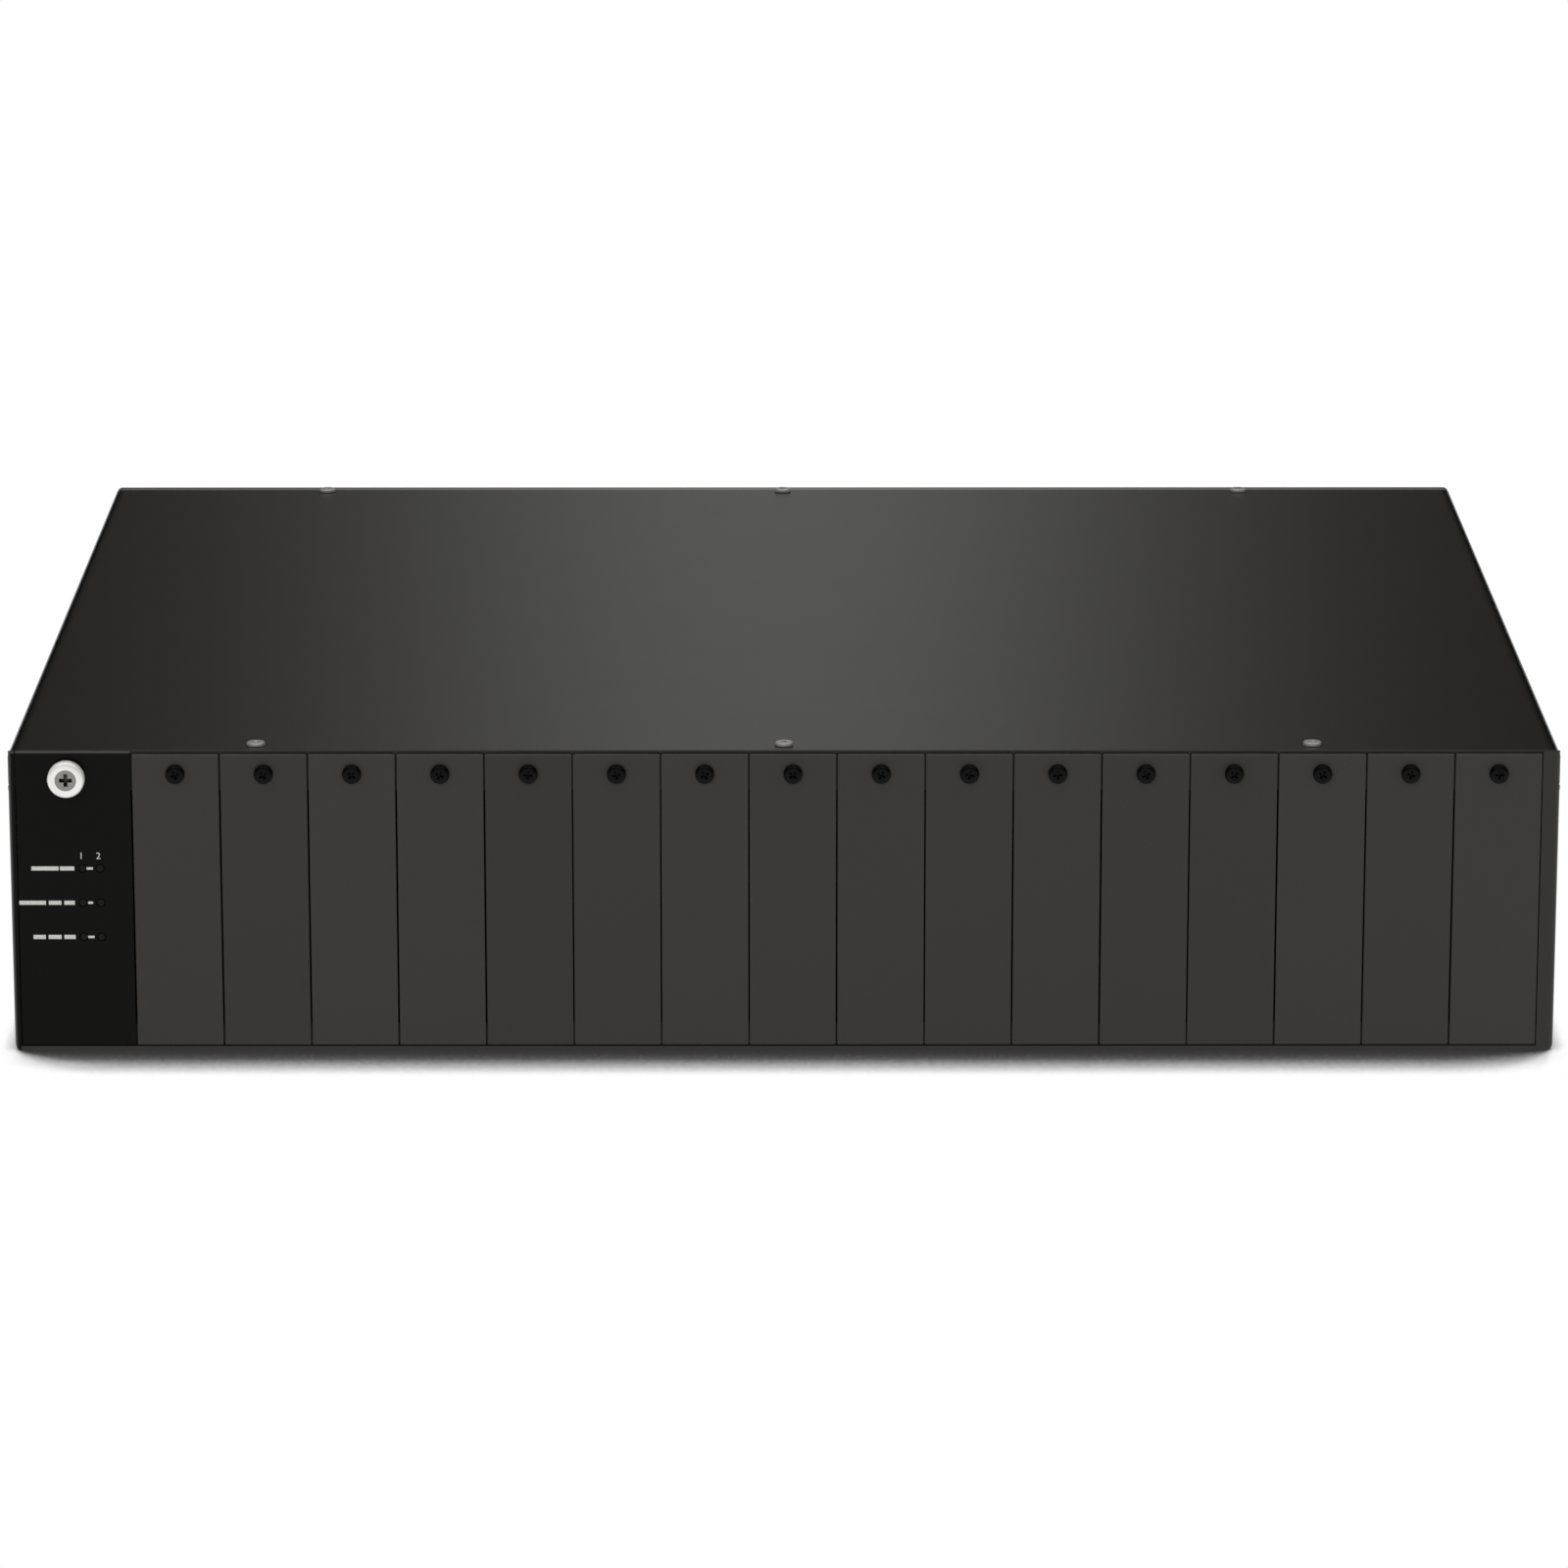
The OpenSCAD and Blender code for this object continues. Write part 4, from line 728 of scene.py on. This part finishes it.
black_oxide = plated("black_oxide", (0.012, 0.012, 0.012, 1), 0.42, 0.02)
low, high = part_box("fan_screws")
fan_x = (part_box("fan_1_frame")[0].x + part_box("fan_1_frame")[1].x) / 2
fan_z = (low.z + high.z) / 2
head_radius, head_height = 0.0036, 0.002
reach = (high.z - low.z) / 2 - head_radius
pattern = screw("fan_screw_pattern", head_radius, head_height, shank_radius=0.0019,
                shank_length=0.0119)
fan_screws = placed_copies(
    pattern, "fan_screw_set",
    [(Vector((side * fan_x + dx * reach, high.y - head_height, fan_z + dz * reach)),
      25 * side + 40 * dx + 17 * dz)
     for side in (-1, 1) for dx in (-1, 1) for dz in (-1, 1)], "rear")
bpy.data.objects.remove(pattern)
fan_screws.data.materials.append(black_oxide)
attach(fan_screws, "chassis")
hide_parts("fan_screws")

# Ground screw: an M4 screw with a washer at the middle of the rear panel, yellow zinc plated.
# The passivation gives it a thin straw colour with a faint bloom.
low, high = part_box("ground_screw")
centre = (low + high) / 2
head_height, washer_height = 0.0026, 0.001
pattern = screw("ground_screw_pattern", 0.004, head_height, shank_radius=0.002,
                shank_length=0.0099)
ground = placed_copies(pattern, "ground_screw_head",
                       [(Vector((0, high.y - head_height, centre.z)), 30)], "rear")
bpy.data.objects.remove(pattern)
bpy.ops.object.select_all(action="DESELECT")
bpy.ops.mesh.primitive_cylinder_add(vertices=48, radius=0.0052, depth=washer_height,
                                    location=(0, high.y - 0.0032, centre.z),
                                    rotation=(math.radians(90), 0, 0))
washer = start_edit("ground_washer")
choose_faces(lambda c, n: abs(n.z) > 0.9)
bpy.ops.mesh.bevel(offset=0.0002, segments=2)
bpy.ops.object.mode_set(mode="OBJECT")
settle(washer)
smooth(washer)
ground = join([ground, washer], "ground_screw_and_washer")
ground.data.materials.append(plated("yellow_zinc", (0.72, 0.58, 0.3, 1), 0.3))
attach(ground, "chassis")
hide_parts("ground_screw")

# Top cover: a 1.2 mm sheet bent down at its two sides over the tray, held by six small screws.
# The same warm grey powder coat, smooth enough to draw the light into a broad band; a painted
# highlight makes its rear edge paler and painted shade makes its two side bends darker than the flat.
# Painted light along edges: blends a coat's colour towards a lighter or darker one over a band of a
# coordinate.
painted_edge_light, given, wanted = new_group(
    "painted_edge_light",
    [("Colour", "Color", (0.05, 0.05, 0.05, 1)), ("Edge colour", "Color", (0.1, 0.1, 0.1, 1)),
     ("Along", "Float", 0.0), ("Start", "Float", 0.0), ("End", "Float", 1.0),
     ("Share", "Float", 1.0)],
    [("Colour", "Color")])
painted_edge_light.links.new(blend_colours(painted_edge_light, calculate(
    painted_edge_light, "MULTIPLY", given["Share"],
    spread(painted_edge_light, given["Along"], given["Start"], given["End"], 0.0, 1.0)),
    given["Colour"], given["Edge colour"]), wanted["Colour"])


def paint_edge_light(tree, colour, along, start, end, edge_colour, share=1.0):
    """Paints a highlight or shade into a coat's colour along an edge, from start to end of a
    coordinate.
    """
    node = place_group(tree, painted_edge_light, Edge_colour=edge_colour, Start=start, End=end)
    tree.links.new(colour, node.inputs["Colour"])
    tree.links.new(along, node.inputs["Along"])
    if isinstance(share, float):
        node.inputs["Share"].default_value = share
    else:
        tree.links.new(share, node.inputs["Share"])
    return node.outputs["Colour"]


cover_coat = powder_coat("cover_powder_coat", body_grey, 0.26, cloud=0.05, bump=0.03)
tree = cover_coat.node_tree
coated = tree.nodes["Principled BSDF"].inputs["Base Color"]
place = axes(tree)
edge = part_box("top_cover")[1]
# Painted shade darkens the two side bends near the top, and a painted highlight pales the rear edge.
bent = paint_edge_light(tree, coated.links[0].from_socket, calculate(tree, "ABSOLUTE", place["X"]),
                 edge.x - 0.0036, edge.x - 0.0022, srgb(4, 4, 3),
                 spread(tree, place["Z"], edge.z - 0.0024, edge.z - 0.0018, 0.0, 1.0))
tree.links.new(paint_edge_light(tree, bent, place["Y"], edge.y - 0.0052, edge.y - 0.0038,
                         srgb(96, 94, 91)), coated)
cover = finished_copy("top_cover", "top_cover_sheet", 0.0003)
cover.data.materials.append(cover_coat)
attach(cover, "cover")

# Front plates: sixteen steel blanks, each with folded returns, a tongue at its foot and one screw.
# Powder coated in batches, so neighbours differ by a shade; the sheared edges are just rounded.
plate_coat, tree, shader = new_material("plate_powder_coat")
low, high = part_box("blank_01")
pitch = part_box("blank_02")[0].x - low.x
skin = place_group(tree, powder_grain, Colour=srgb(43, 41.5, 38.5), Cloud=0.08, Roughness=0.42)
shader.inputs["Specular IOR Level"].default_value = 0.32
batch = tree.nodes.new("ShaderNodeTexWhiteNoise")
batch.noise_dimensions = "1D"
place = axes(tree)
tree.links.new(calculate(tree, "FLOOR", calculate(
    tree, "DIVIDE", calculate(tree, "SUBTRACT", place["X"], low.x - 0.0002), pitch)),
    batch.inputs["W"])
lift = tree.nodes.new("ShaderNodeCombineColor")
for socket in lift.inputs[:3]:
    tree.links.new(spread(tree, batch.outputs["Value"], 0.0, 1.0, 0.9, 1.12), socket)
toned = blend_colours(tree, 1.0, skin.outputs["Colour"], lift.outputs[0], "MULTIPLY")
# Painted highlight: a paler, noise-broken line along each plate's top edge for the light it catches.
tree.links.new(paint_edge_light(tree, toned, place["Z"], high.z - 0.0007, high.z - 0.0003,
                         srgb(56, 54, 51),
                         spread(tree, noise(tree, 260.0, 3.0), 0.3, 0.6, 0.38, 0.75)),
               shader.inputs["Base Color"])
tree.links.new(skin.outputs["Roughness"], shader.inputs["Roughness"])
add_bump(tree, shader, skin.outputs["Height"], 0.12, 0.00002)

screw_black = plated("slot_screw_black", (0.010, 0.010, 0.010, 1), 0.4, 0.02)
screw_z = high.z - 0.0057
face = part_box("base_tray")[0].y
model_screw = screw("slot_screw_pattern", head_radius=0.0027, head_height=0.0018,
                    shank_radius=0.0015, shank_length=0.0069, sides=32)
for number in range(1, 17):
    node = f"blank_{number:02d}"
    low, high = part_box(node)
    plate = finished_copy(node, f"{node}_plate", 0.0003, 3,
                          without=lambda c, n: c.y < face - seat_gap)
    plate.data.materials.append(plate_coat)
    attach(plate, node)
    head = placed_copies(model_screw, f"{node}_screw",
                         [(Vector(((low.x + high.x) / 2, face - seat_gap, screw_z)),
                           17 * number % 90)], "front")
    head.data.materials.append(screw_black)
    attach(head, node)
bpy.data.objects.remove(model_screw)

# Indicator plate: the same steel plate at the left end, under a near-black gloss film with six
# small lamp holes and a painted highlight along its top. The tray's narrow return beside it takes the
# film's near-black as painted shade. White bars, dashes and numbers.
film, tree, shader = new_material("indicator_film")
skin = place_group(tree, powder_grain, Colour=srgb(11, 10, 9), Cloud=0.1, Roughness=0.24)
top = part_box("indicator_faceplate")[1].z
# Painted highlight: a paler line along the top edge of the film.
tree.links.new(paint_edge_light(tree, skin.outputs["Colour"], axes(tree)["Z"], top - 0.0006,
                         top - 0.0002, srgb(78, 77, 74), 0.8), shader.inputs["Base Color"])
tree.links.new(skin.outputs["Roughness"], shader.inputs["Roughness"])
shader.inputs["Specular IOR Level"].default_value = 0.07
panel = finished_copy("indicator_faceplate", "indicator_plate", sheared_edge)
panel.data.materials.append(film)
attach(panel, "indicator_module")
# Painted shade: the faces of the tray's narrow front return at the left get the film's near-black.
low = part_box("base_tray")[0]
tray.data.materials.append(film)
bpy.ops.object.select_all(action="DESELECT")
tray.select_set(True)
bpy.context.view_layer.objects.active = tray
bpy.ops.object.mode_set(mode="EDIT")
choose_faces(lambda c, n: c.y < low.y + 0.0004 and c.x < low.x + 0.0024 and c.z > low.z + 0.0005)
tray.active_material_index = 1
bpy.ops.object.material_slot_assign()
bpy.ops.object.mode_set(mode="OBJECT")

ink, tree, shader = new_material("white_print_ink")
tree.links.new(blend_colours(tree, noise(tree, 2600.0, 2.0), srgb(170, 169, 165),
                             srgb(210, 209, 205)), shader.inputs["Base Color"])
tree.links.new(spread(tree, noise(tree, 900.0), 0.0, 1.0, 0.45, 0.6), shader.inputs["Roughness"])
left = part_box("base_tray")[0].x
ink_top = face - 0.00006
marks = []
# Each row's height and thickness, then where its bars start and end, in mm from the left side.
for row, (height, thick, bars) in enumerate((
        (0.0538, 0.0012, ((6.1, 13.8), (14.2, 18.3))),
        (0.0437, 0.0012, ((2.4, 10.0), (10.8, 14.4), (15.2, 18.2))),
        (0.0336, 0.0012, ((6.2, 9.7), (10.5, 14.2), (15.0, 18.2))),
        (0.0538, 0.0007, ((21.8, 23.6),)),
        (0.0437, 0.0007, ((22.0, 23.4),)),
        (0.0336, 0.0007, ((21.8, 23.6),)))):
    for start, end in bars:
        bpy.ops.object.select_all(action="DESELECT")
        bpy.ops.mesh.primitive_cube_add(
            size=1, location=(left + (start + end) / 2000, (ink_top + face) / 2, height),
            scale=((end - start) / 1000, face - ink_top, thick))
        bar = start_edit(f"ink_bar_{row}_{len(marks)}")
        choose_faces(lambda c, n: n.y < -0.9)
        bpy.ops.mesh.inset(thickness=0.00008)
        bpy.ops.object.mode_set(mode="OBJECT")
        settle(bar)
        marks.append(bar)
for digit, x in (("1", 0.0203), ("2", 0.0252)):
    bpy.ops.object.select_all(action="DESELECT")
    bpy.ops.object.text_add()
    figure = bpy.context.object
    figure.data.body = digit
    figure.data.align_x = "CENTER"
    figure.data.size = 0.0027
    figure.data.extrude = 0.00003
    bpy.ops.object.convert(target="MESH")
    figure = bpy.context.object
    figure.location = (left + x, (ink_top + face) / 2, 0.0566)
    figure.rotation_euler = (math.radians(90), 0, 0)
    settle(figure)
    marks.append(figure)
printing = join(marks, "indicator_printing")
printing.data.materials.append(ink)
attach(printing, "indicator_module")

# Indicator lights: three twin lamp blocks on the board, with clear rods through the plate's holes.
# The rods are tinted smoke grey and stay dark while nothing is lit.
lens, tree, shader = new_material("lamp_lens")
tree.links.new(blend_colours(tree, noise(tree, 800.0), srgb(11, 11, 10), srgb(16, 16, 15)),
               shader.inputs["Base Color"])
tree.links.new(spread(tree, noise(tree, 300.0), 0.0, 1.0, 0.15, 0.3), shader.inputs["Roughness"])
shader.inputs["Specular IOR Level"].default_value = 0.12
dress("indicator_lights", lens)
dress("indicator_board", solder_mask("indicator_solder_mask", srgb(24, 78, 46),
                                     srgb(46, 108, 68), (1, 2)))


# Thumbscrews: turned brass heads, nickel plated, with a fluted grip, a blasted dish inside the
# bright rim and a cross recess whose inside is near-black as painted shade. One holds the indicator
# plate, two hold each plate at the rear.
thumb_nickel = plated("thumbscrew_nickel", (0.90, 0.89, 0.86, 1), 0.26, 0.2, metallic=0.35)
thumb_dish = plated("thumbscrew_dish", (0.32, 0.31, 0.30, 1), 0.42, 0.9, 0.3, metallic=0.5)
# Painted shade: near-black for the cross recess, standing in for the shade inside it.
recess_painted_shade = plated("thumbscrew_recess_painted_shade", (0.07, 0.07, 0.065, 1), 0.5, 0.3)


def thumbscrew(name, radius, height, neck_radius, neck_height, shank_radius, shank_length):
    """A thumbscrew along +Z with its seat at z = 0."""
    rim_round, rim_flat, dish_depth = radius * 0.2, radius * 0.22, radius * 0.06
    flute_step, flute_share = math.radians(5), 0.965
    bpy.ops.object.select_all(action="DESELECT")
    bpy.ops.mesh.primitive_cylinder_add(
        vertices=72, radius=radius, depth=height - neck_height,
        location=(0, 0, (height + neck_height) / 2))
    head = start_edit(name)
    choose_faces(lambda c, n: n.z < -0.9)
    bpy.ops.mesh.inset(thickness=radius - neck_radius)
    bpy.ops.mesh.extrude_region_move(TRANSFORM_OT_translate={"value": (0, 0, -neck_height)})
    bpy.ops.mesh.inset(thickness=neck_radius - shank_radius)
    bpy.ops.mesh.extrude_region_move(TRANSFORM_OT_translate={"value": (0, 0, -shank_length)})
    choose_faces(lambda c, n: n.z > 0.9)
    bpy.ops.mesh.bevel(offset=rim_round, segments=5)
    choose_faces(lambda c, n: n.z > 0.999)
    bpy.ops.mesh.inset(thickness=rim_flat)
    bpy.ops.mesh.extrude_region_move(TRANSFORM_OT_translate={"value": (0, 0, -dish_depth)})
    choose_faces(lambda c, n: abs(n.z) < 0.1 and math.hypot(c.x, c.y) > radius * 0.97
                 and round(math.atan2(c.y, c.x) / flute_step - 0.5) % 2 == 0)
    bpy.ops.mesh.inset(thickness=radius * 0.012, use_individual=True)
    bpy.ops.transform.resize(value=(flute_share, flute_share, 1), center_override=(0, 0, 0))
    for finish in (thumb_nickel, thumb_dish, recess_painted_shade):
        head.data.materials.append(finish)
    choose_faces(lambda c, n: n.z > 0.999 and math.hypot(c.x, c.y) < radius * 0.5)
    head.active_material_index = 1
    bpy.ops.object.material_slot_assign()
    bpy.ops.object.mode_set(mode="OBJECT")
    settle(head)
    # The recess takes the head's last finish, the painted shade.
    press_cross(head, radius * 0.48, radius * 0.24, height * 0.4, height - dish_depth)
    smooth(head, 35)
    return head


low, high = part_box("indicator_thumbscrew")
middle = (low + high) / 2
pattern = thumbscrew("indicator_thumb_pattern", radius=0.00525, height=0.0038, neck_radius=0.0034,
                     neck_height=0.001, shank_radius=0.0015, shank_length=0.0079)
thumb = placed_copies(pattern, "indicator_thumb",
                      [(Vector((middle.x, face - seat_gap, middle.z)), 0)], "front")
bpy.data.objects.remove(pattern)
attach(thumb, "indicator_thumbscrew")
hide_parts("indicator_thumbscrew")

thumb_height = 0.008
pattern = thumbscrew("bay_thumb_pattern", radius=0.0048, height=thumb_height, neck_radius=0.0034,
                     neck_height=0.002, shank_radius=0.00175, shank_length=0.0064)
for node in ("psu_thumbscrew_left", "psu_thumbscrew_right", "bay_cover_thumbscrew_left",
             "bay_cover_thumbscrew_right"):
    low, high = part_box(node)
    middle = (low + high) / 2
    thumb = placed_copies(pattern, node.replace("thumbscrew", "thumb"),
                          [(Vector((middle.x, high.y - thumb_height, middle.z)),
                            31 if "left" in node else 12)], "rear")
    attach(thumb, node)
    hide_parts(node)
bpy.data.objects.remove(pattern)

# Power module's case and lid: 1 mm galvanised sheet with punched vents, closed by the faceplate.
# The faceplate and the empty bay's cover wear the body's powder coat.
for node, name in (("psu_case", "power_case_sheet"), ("psu_lid", "power_lid_sheet")):
    sheet = finished_copy(node, name, 0.0002)
    sheet.data.materials.append(zinc_sheet)
    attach(sheet, "power_module")
for node, name, body in (("psu_faceplate", "power_plate", "power_module"),
                         ("bay_cover", "bay_cover_plate", "bay_cover")):
    plate = finished_copy(node, name, 0.0003)
    plate.data.materials.append(body_coat)
    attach(plate, body)

# Power module's board: tan paper laminate with a ferrite transformer, three capacitors in dark
# sleeves with bare scored tops, and two finned heat sinks of plain extruded aluminium.
board_tan, tree, shader = new_material("paper_laminate")
tree.links.new(blend_colours(tree, noise(tree, 420.0, 6.0, stretch=(1, 0.2, 1)),
                             srgb(140, 106, 62), srgb(166, 130, 82)), shader.inputs["Base Color"])
tree.links.new(spread(tree, noise(tree, 90.0), 0.0, 1.0, 0.4, 0.6), shader.inputs["Roughness"])
dress("psu_board", board_tan)

core, tree, shader = new_material("ferrite_and_tape")
low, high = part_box("psu_transformer")
tape_half_width, tape_half_height = 0.01005, 0.00705
place = axes(tree)
from_middle = calculate(tree, "ABSOLUTE", calculate(
    tree, "SUBTRACT", place["X"], (low.x + high.x) / 2))
from_centre = calculate(tree, "ABSOLUTE", calculate(
    tree, "SUBTRACT", place["Z"], (low.z + high.z) / 2))
taped = calculate(tree, "MULTIPLY", calculate(tree, "LESS_THAN", from_middle, tape_half_width),
                  calculate(tree, "LESS_THAN", from_centre, tape_half_height))
ferrite = blend_colours(tree, noise(tree, 900.0, 4.0), srgb(52, 52, 54), srgb(82, 82, 84))
tree.links.new(blend_colours(tree, taped, ferrite, srgb(206, 170, 58)),
               shader.inputs["Base Color"])
tree.links.new(spread(tree, taped, 0.0, 1.0, 0.6, 0.28), shader.inputs["Roughness"])
add_bump(tree, shader, noise(tree, 1500.0, 3.0), 0.2, 0.00005)
dress("psu_transformer", core)

sleeve, tree, shader = new_material("capacitor_sleeve")
low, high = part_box("psu_capacitors")
top = calculate(tree, "GREATER_THAN", axes(tree)["Z"], high.z - 0.00055)
tree.links.new(blend_colours(tree, top, blend_colours(
    tree, noise(tree, 500.0), srgb(26, 30, 46), srgb(36, 42, 62)), srgb(196, 197, 198)),
    shader.inputs["Base Color"])
tree.links.new(calculate(tree, "MULTIPLY", top, 0.95), shader.inputs["Metallic"])
tree.links.new(spread(tree, noise(tree, 200.0), 0.0, 1.0, 0.2, 0.36), shader.inputs["Roughness"])
dress("psu_capacitors", sleeve)

extrusion, tree, shader = new_material("extruded_aluminium")
drawn = noise(tree, 2200.0, 2.0, stretch=(1, 1, 0.03))
tree.links.new(blend_colours(tree, drawn, (0.55, 0.56, 0.57, 1), (0.72, 0.73, 0.74, 1)),
               shader.inputs["Base Color"])
shader.inputs["Metallic"].default_value = 1.0
tree.links.new(spread(tree, drawn, 0.0, 1.0, 0.28, 0.44), shader.inputs["Roughness"])
add_bump(tree, shader, drawn, 0.2, 0.00003)
dress("psu_heatsinks", extrusion)

# Power inlet: an earthed appliance inlet in black moulding with three plated pins, and beside it
# the rocker switch's housing. Both snap into the faceplate.
snap_black = moulded("inlet_moulding", srgb(20, 20, 20), 0.36, 0.015, 1400.0, 0.1)
for node, name in (("psu_inlet", "inlet_shell"), ("psu_switch_housing", "switch_shell")):
    shell = finished_copy(node, name, 0.0004, 3)
    shell.data.materials.append(snap_black)
    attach(shell, "power_module")
pins = finished_copy("psu_inlet_blades", "inlet_pins", 0.0005, 3)
pins.data.materials.append(plated("pin_plate", (0.76, 0.73, 0.66, 1), 0.26))
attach(pins, "power_module")

# Rocker: a black moulded key that tips on two pins in the switch's housing, glossy from handling.
# At rest its lower half is in.
rocker = finished_copy("psu_rocker", "rocker_key", 0.0004, 3)
rocker.data.materials.append(moulded("rocker_moulding", srgb(26, 26, 26), 0.26, 0.02))
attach(rocker, "power_rocker")

# Rocker's marks: an upright line on the half that is out and a ring on the half that is in.
# Pad-printed in white, a hair proud of the key.
low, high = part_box("psu_rocker")
tip = math.radians(9)
half, dip, rise = 0.0076, 0.0012, 0.0026
slope = math.atan2(rise - dip, half)
pivot = Vector(((low.x + high.x) / 2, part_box("psu_faceplate")[1].y + 0.0002,
                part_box("psu_inlet")[0].z / 2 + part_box("psu_inlet")[1].z / 2))
marks = []
for side in (1, -1):
    along = 0.0042 * side
    out = dip + abs(along) * math.tan(slope) + 0.00003
    place = pivot + Vector((0, out * math.cos(tip) + along * math.sin(tip),
                            along * math.cos(tip) - out * math.sin(tip)))
    facing = slope * side + tip
    turn = (math.atan2(-math.cos(facing), -math.sin(facing)), 0, 0)
    bpy.ops.object.select_all(action="DESELECT")
    if side == 1:
        bpy.ops.mesh.primitive_cube_add(size=1, location=place, rotation=turn,
                                        scale=(0.0007, 0.0030, 0.00008))
        mark = start_edit("rocker_line")
        choose_faces(lambda c, n: n.z > 0.9)
        bpy.ops.mesh.inset(thickness=0.00006)
    else:
        bpy.ops.mesh.primitive_torus_add(location=place, rotation=turn, major_segments=48,
                                         minor_segments=8, major_radius=0.0013,
                                         minor_radius=0.0003)
        mark = start_edit("rocker_ring")
        bpy.ops.mesh.select_all(action="SELECT")
        bpy.ops.transform.resize(value=(1, 1, 0.2), orient_type="LOCAL")
    bpy.ops.object.mode_set(mode="OBJECT")
    settle(mark)
    marks.append(mark)
rocker_marks = join(marks, "rocker_marks")
rocker_marks.data.materials.append(ink)
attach(rocker_marks, "power_rocker")

# Handle: a 7 mm steel rod bent twice and screwed to the faceplate through two collars.
# Bright plated, with the faint lines of drawing along the bar.
low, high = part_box("psu_handle")
rod, bend = 0.0035, 0.009
leg_z = (low.z + high.z) / 2
collar_radius, collar_height = 0.0055, 0.0015
left_x, right_x = low.x + collar_radius, high.x - collar_radius
bar_y, foot_y = high.y - rod, low.y
bpy.ops.object.select_all(action="DESELECT")
bpy.ops.mesh.primitive_circle_add(vertices=32, radius=rod, fill_type="NGON",
                                  location=(left_x, foot_y, leg_z),
                                  rotation=(math.radians(90), 0, 0))
bar = start_edit("power_handle")
bpy.ops.mesh.select_all(action="SELECT")
bpy.ops.mesh.extrude_region_move(
    TRANSFORM_OT_translate={"value": (0, bar_y - bend - foot_y, 0), "orient_type": "GLOBAL"})
bpy.ops.mesh.spin(steps=12, angle=math.radians(90), center=(left_x + bend, bar_y - bend, leg_z),
                  axis=(0, 0, 1))
bpy.ops.mesh.extrude_region_move(
    TRANSFORM_OT_translate={"value": (right_x - left_x - 2 * bend, 0, 0), "orient_type": "GLOBAL"})
bpy.ops.mesh.spin(steps=12, angle=math.radians(90), center=(right_x - bend, bar_y - bend, leg_z),
                  axis=(0, 0, 1))
bpy.ops.mesh.extrude_region_move(
    TRANSFORM_OT_translate={"value": (0, foot_y - bar_y + bend, 0), "orient_type": "GLOBAL"})
bpy.ops.mesh.select_all(action="SELECT")
bpy.ops.mesh.remove_doubles(threshold=0.000005)
bpy.ops.mesh.normals_make_consistent(inside=False)
bpy.ops.object.mode_set(mode="OBJECT")
settle(bar)
collars = [bar]
for x in (left_x, right_x):
    bpy.ops.object.select_all(action="DESELECT")
    bpy.ops.mesh.primitive_cylinder_add(vertices=40, radius=collar_radius, depth=collar_height,
                                        location=(x, foot_y + collar_height / 2, leg_z),
                                        rotation=(math.radians(90), 0, 0))
    collar = start_edit("collar")
    choose_faces(lambda c, n: abs(n.z) > 0.9)
    bpy.ops.mesh.bevel(offset=0.0004, segments=3)
    bpy.ops.object.mode_set(mode="OBJECT")
    settle(collar)
    collars.append(collar)
handle = join(collars, "power_handle")
smooth(handle, 45)
handle.data.materials.append(plated("handle_chrome", (0.78, 0.78, 0.78, 1), 0.16))
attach(handle, "power_module")
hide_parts("psu_handle")

# Fan leads: a thin insulated lead runs from each fan along the floor to its socket on the midplane.
# Soft red insulation with a slight gloss.
dress("fan_leads", moulded("lead_insulation", srgb(168, 34, 26), 0.36, 0.04, 500.0, 0.05))
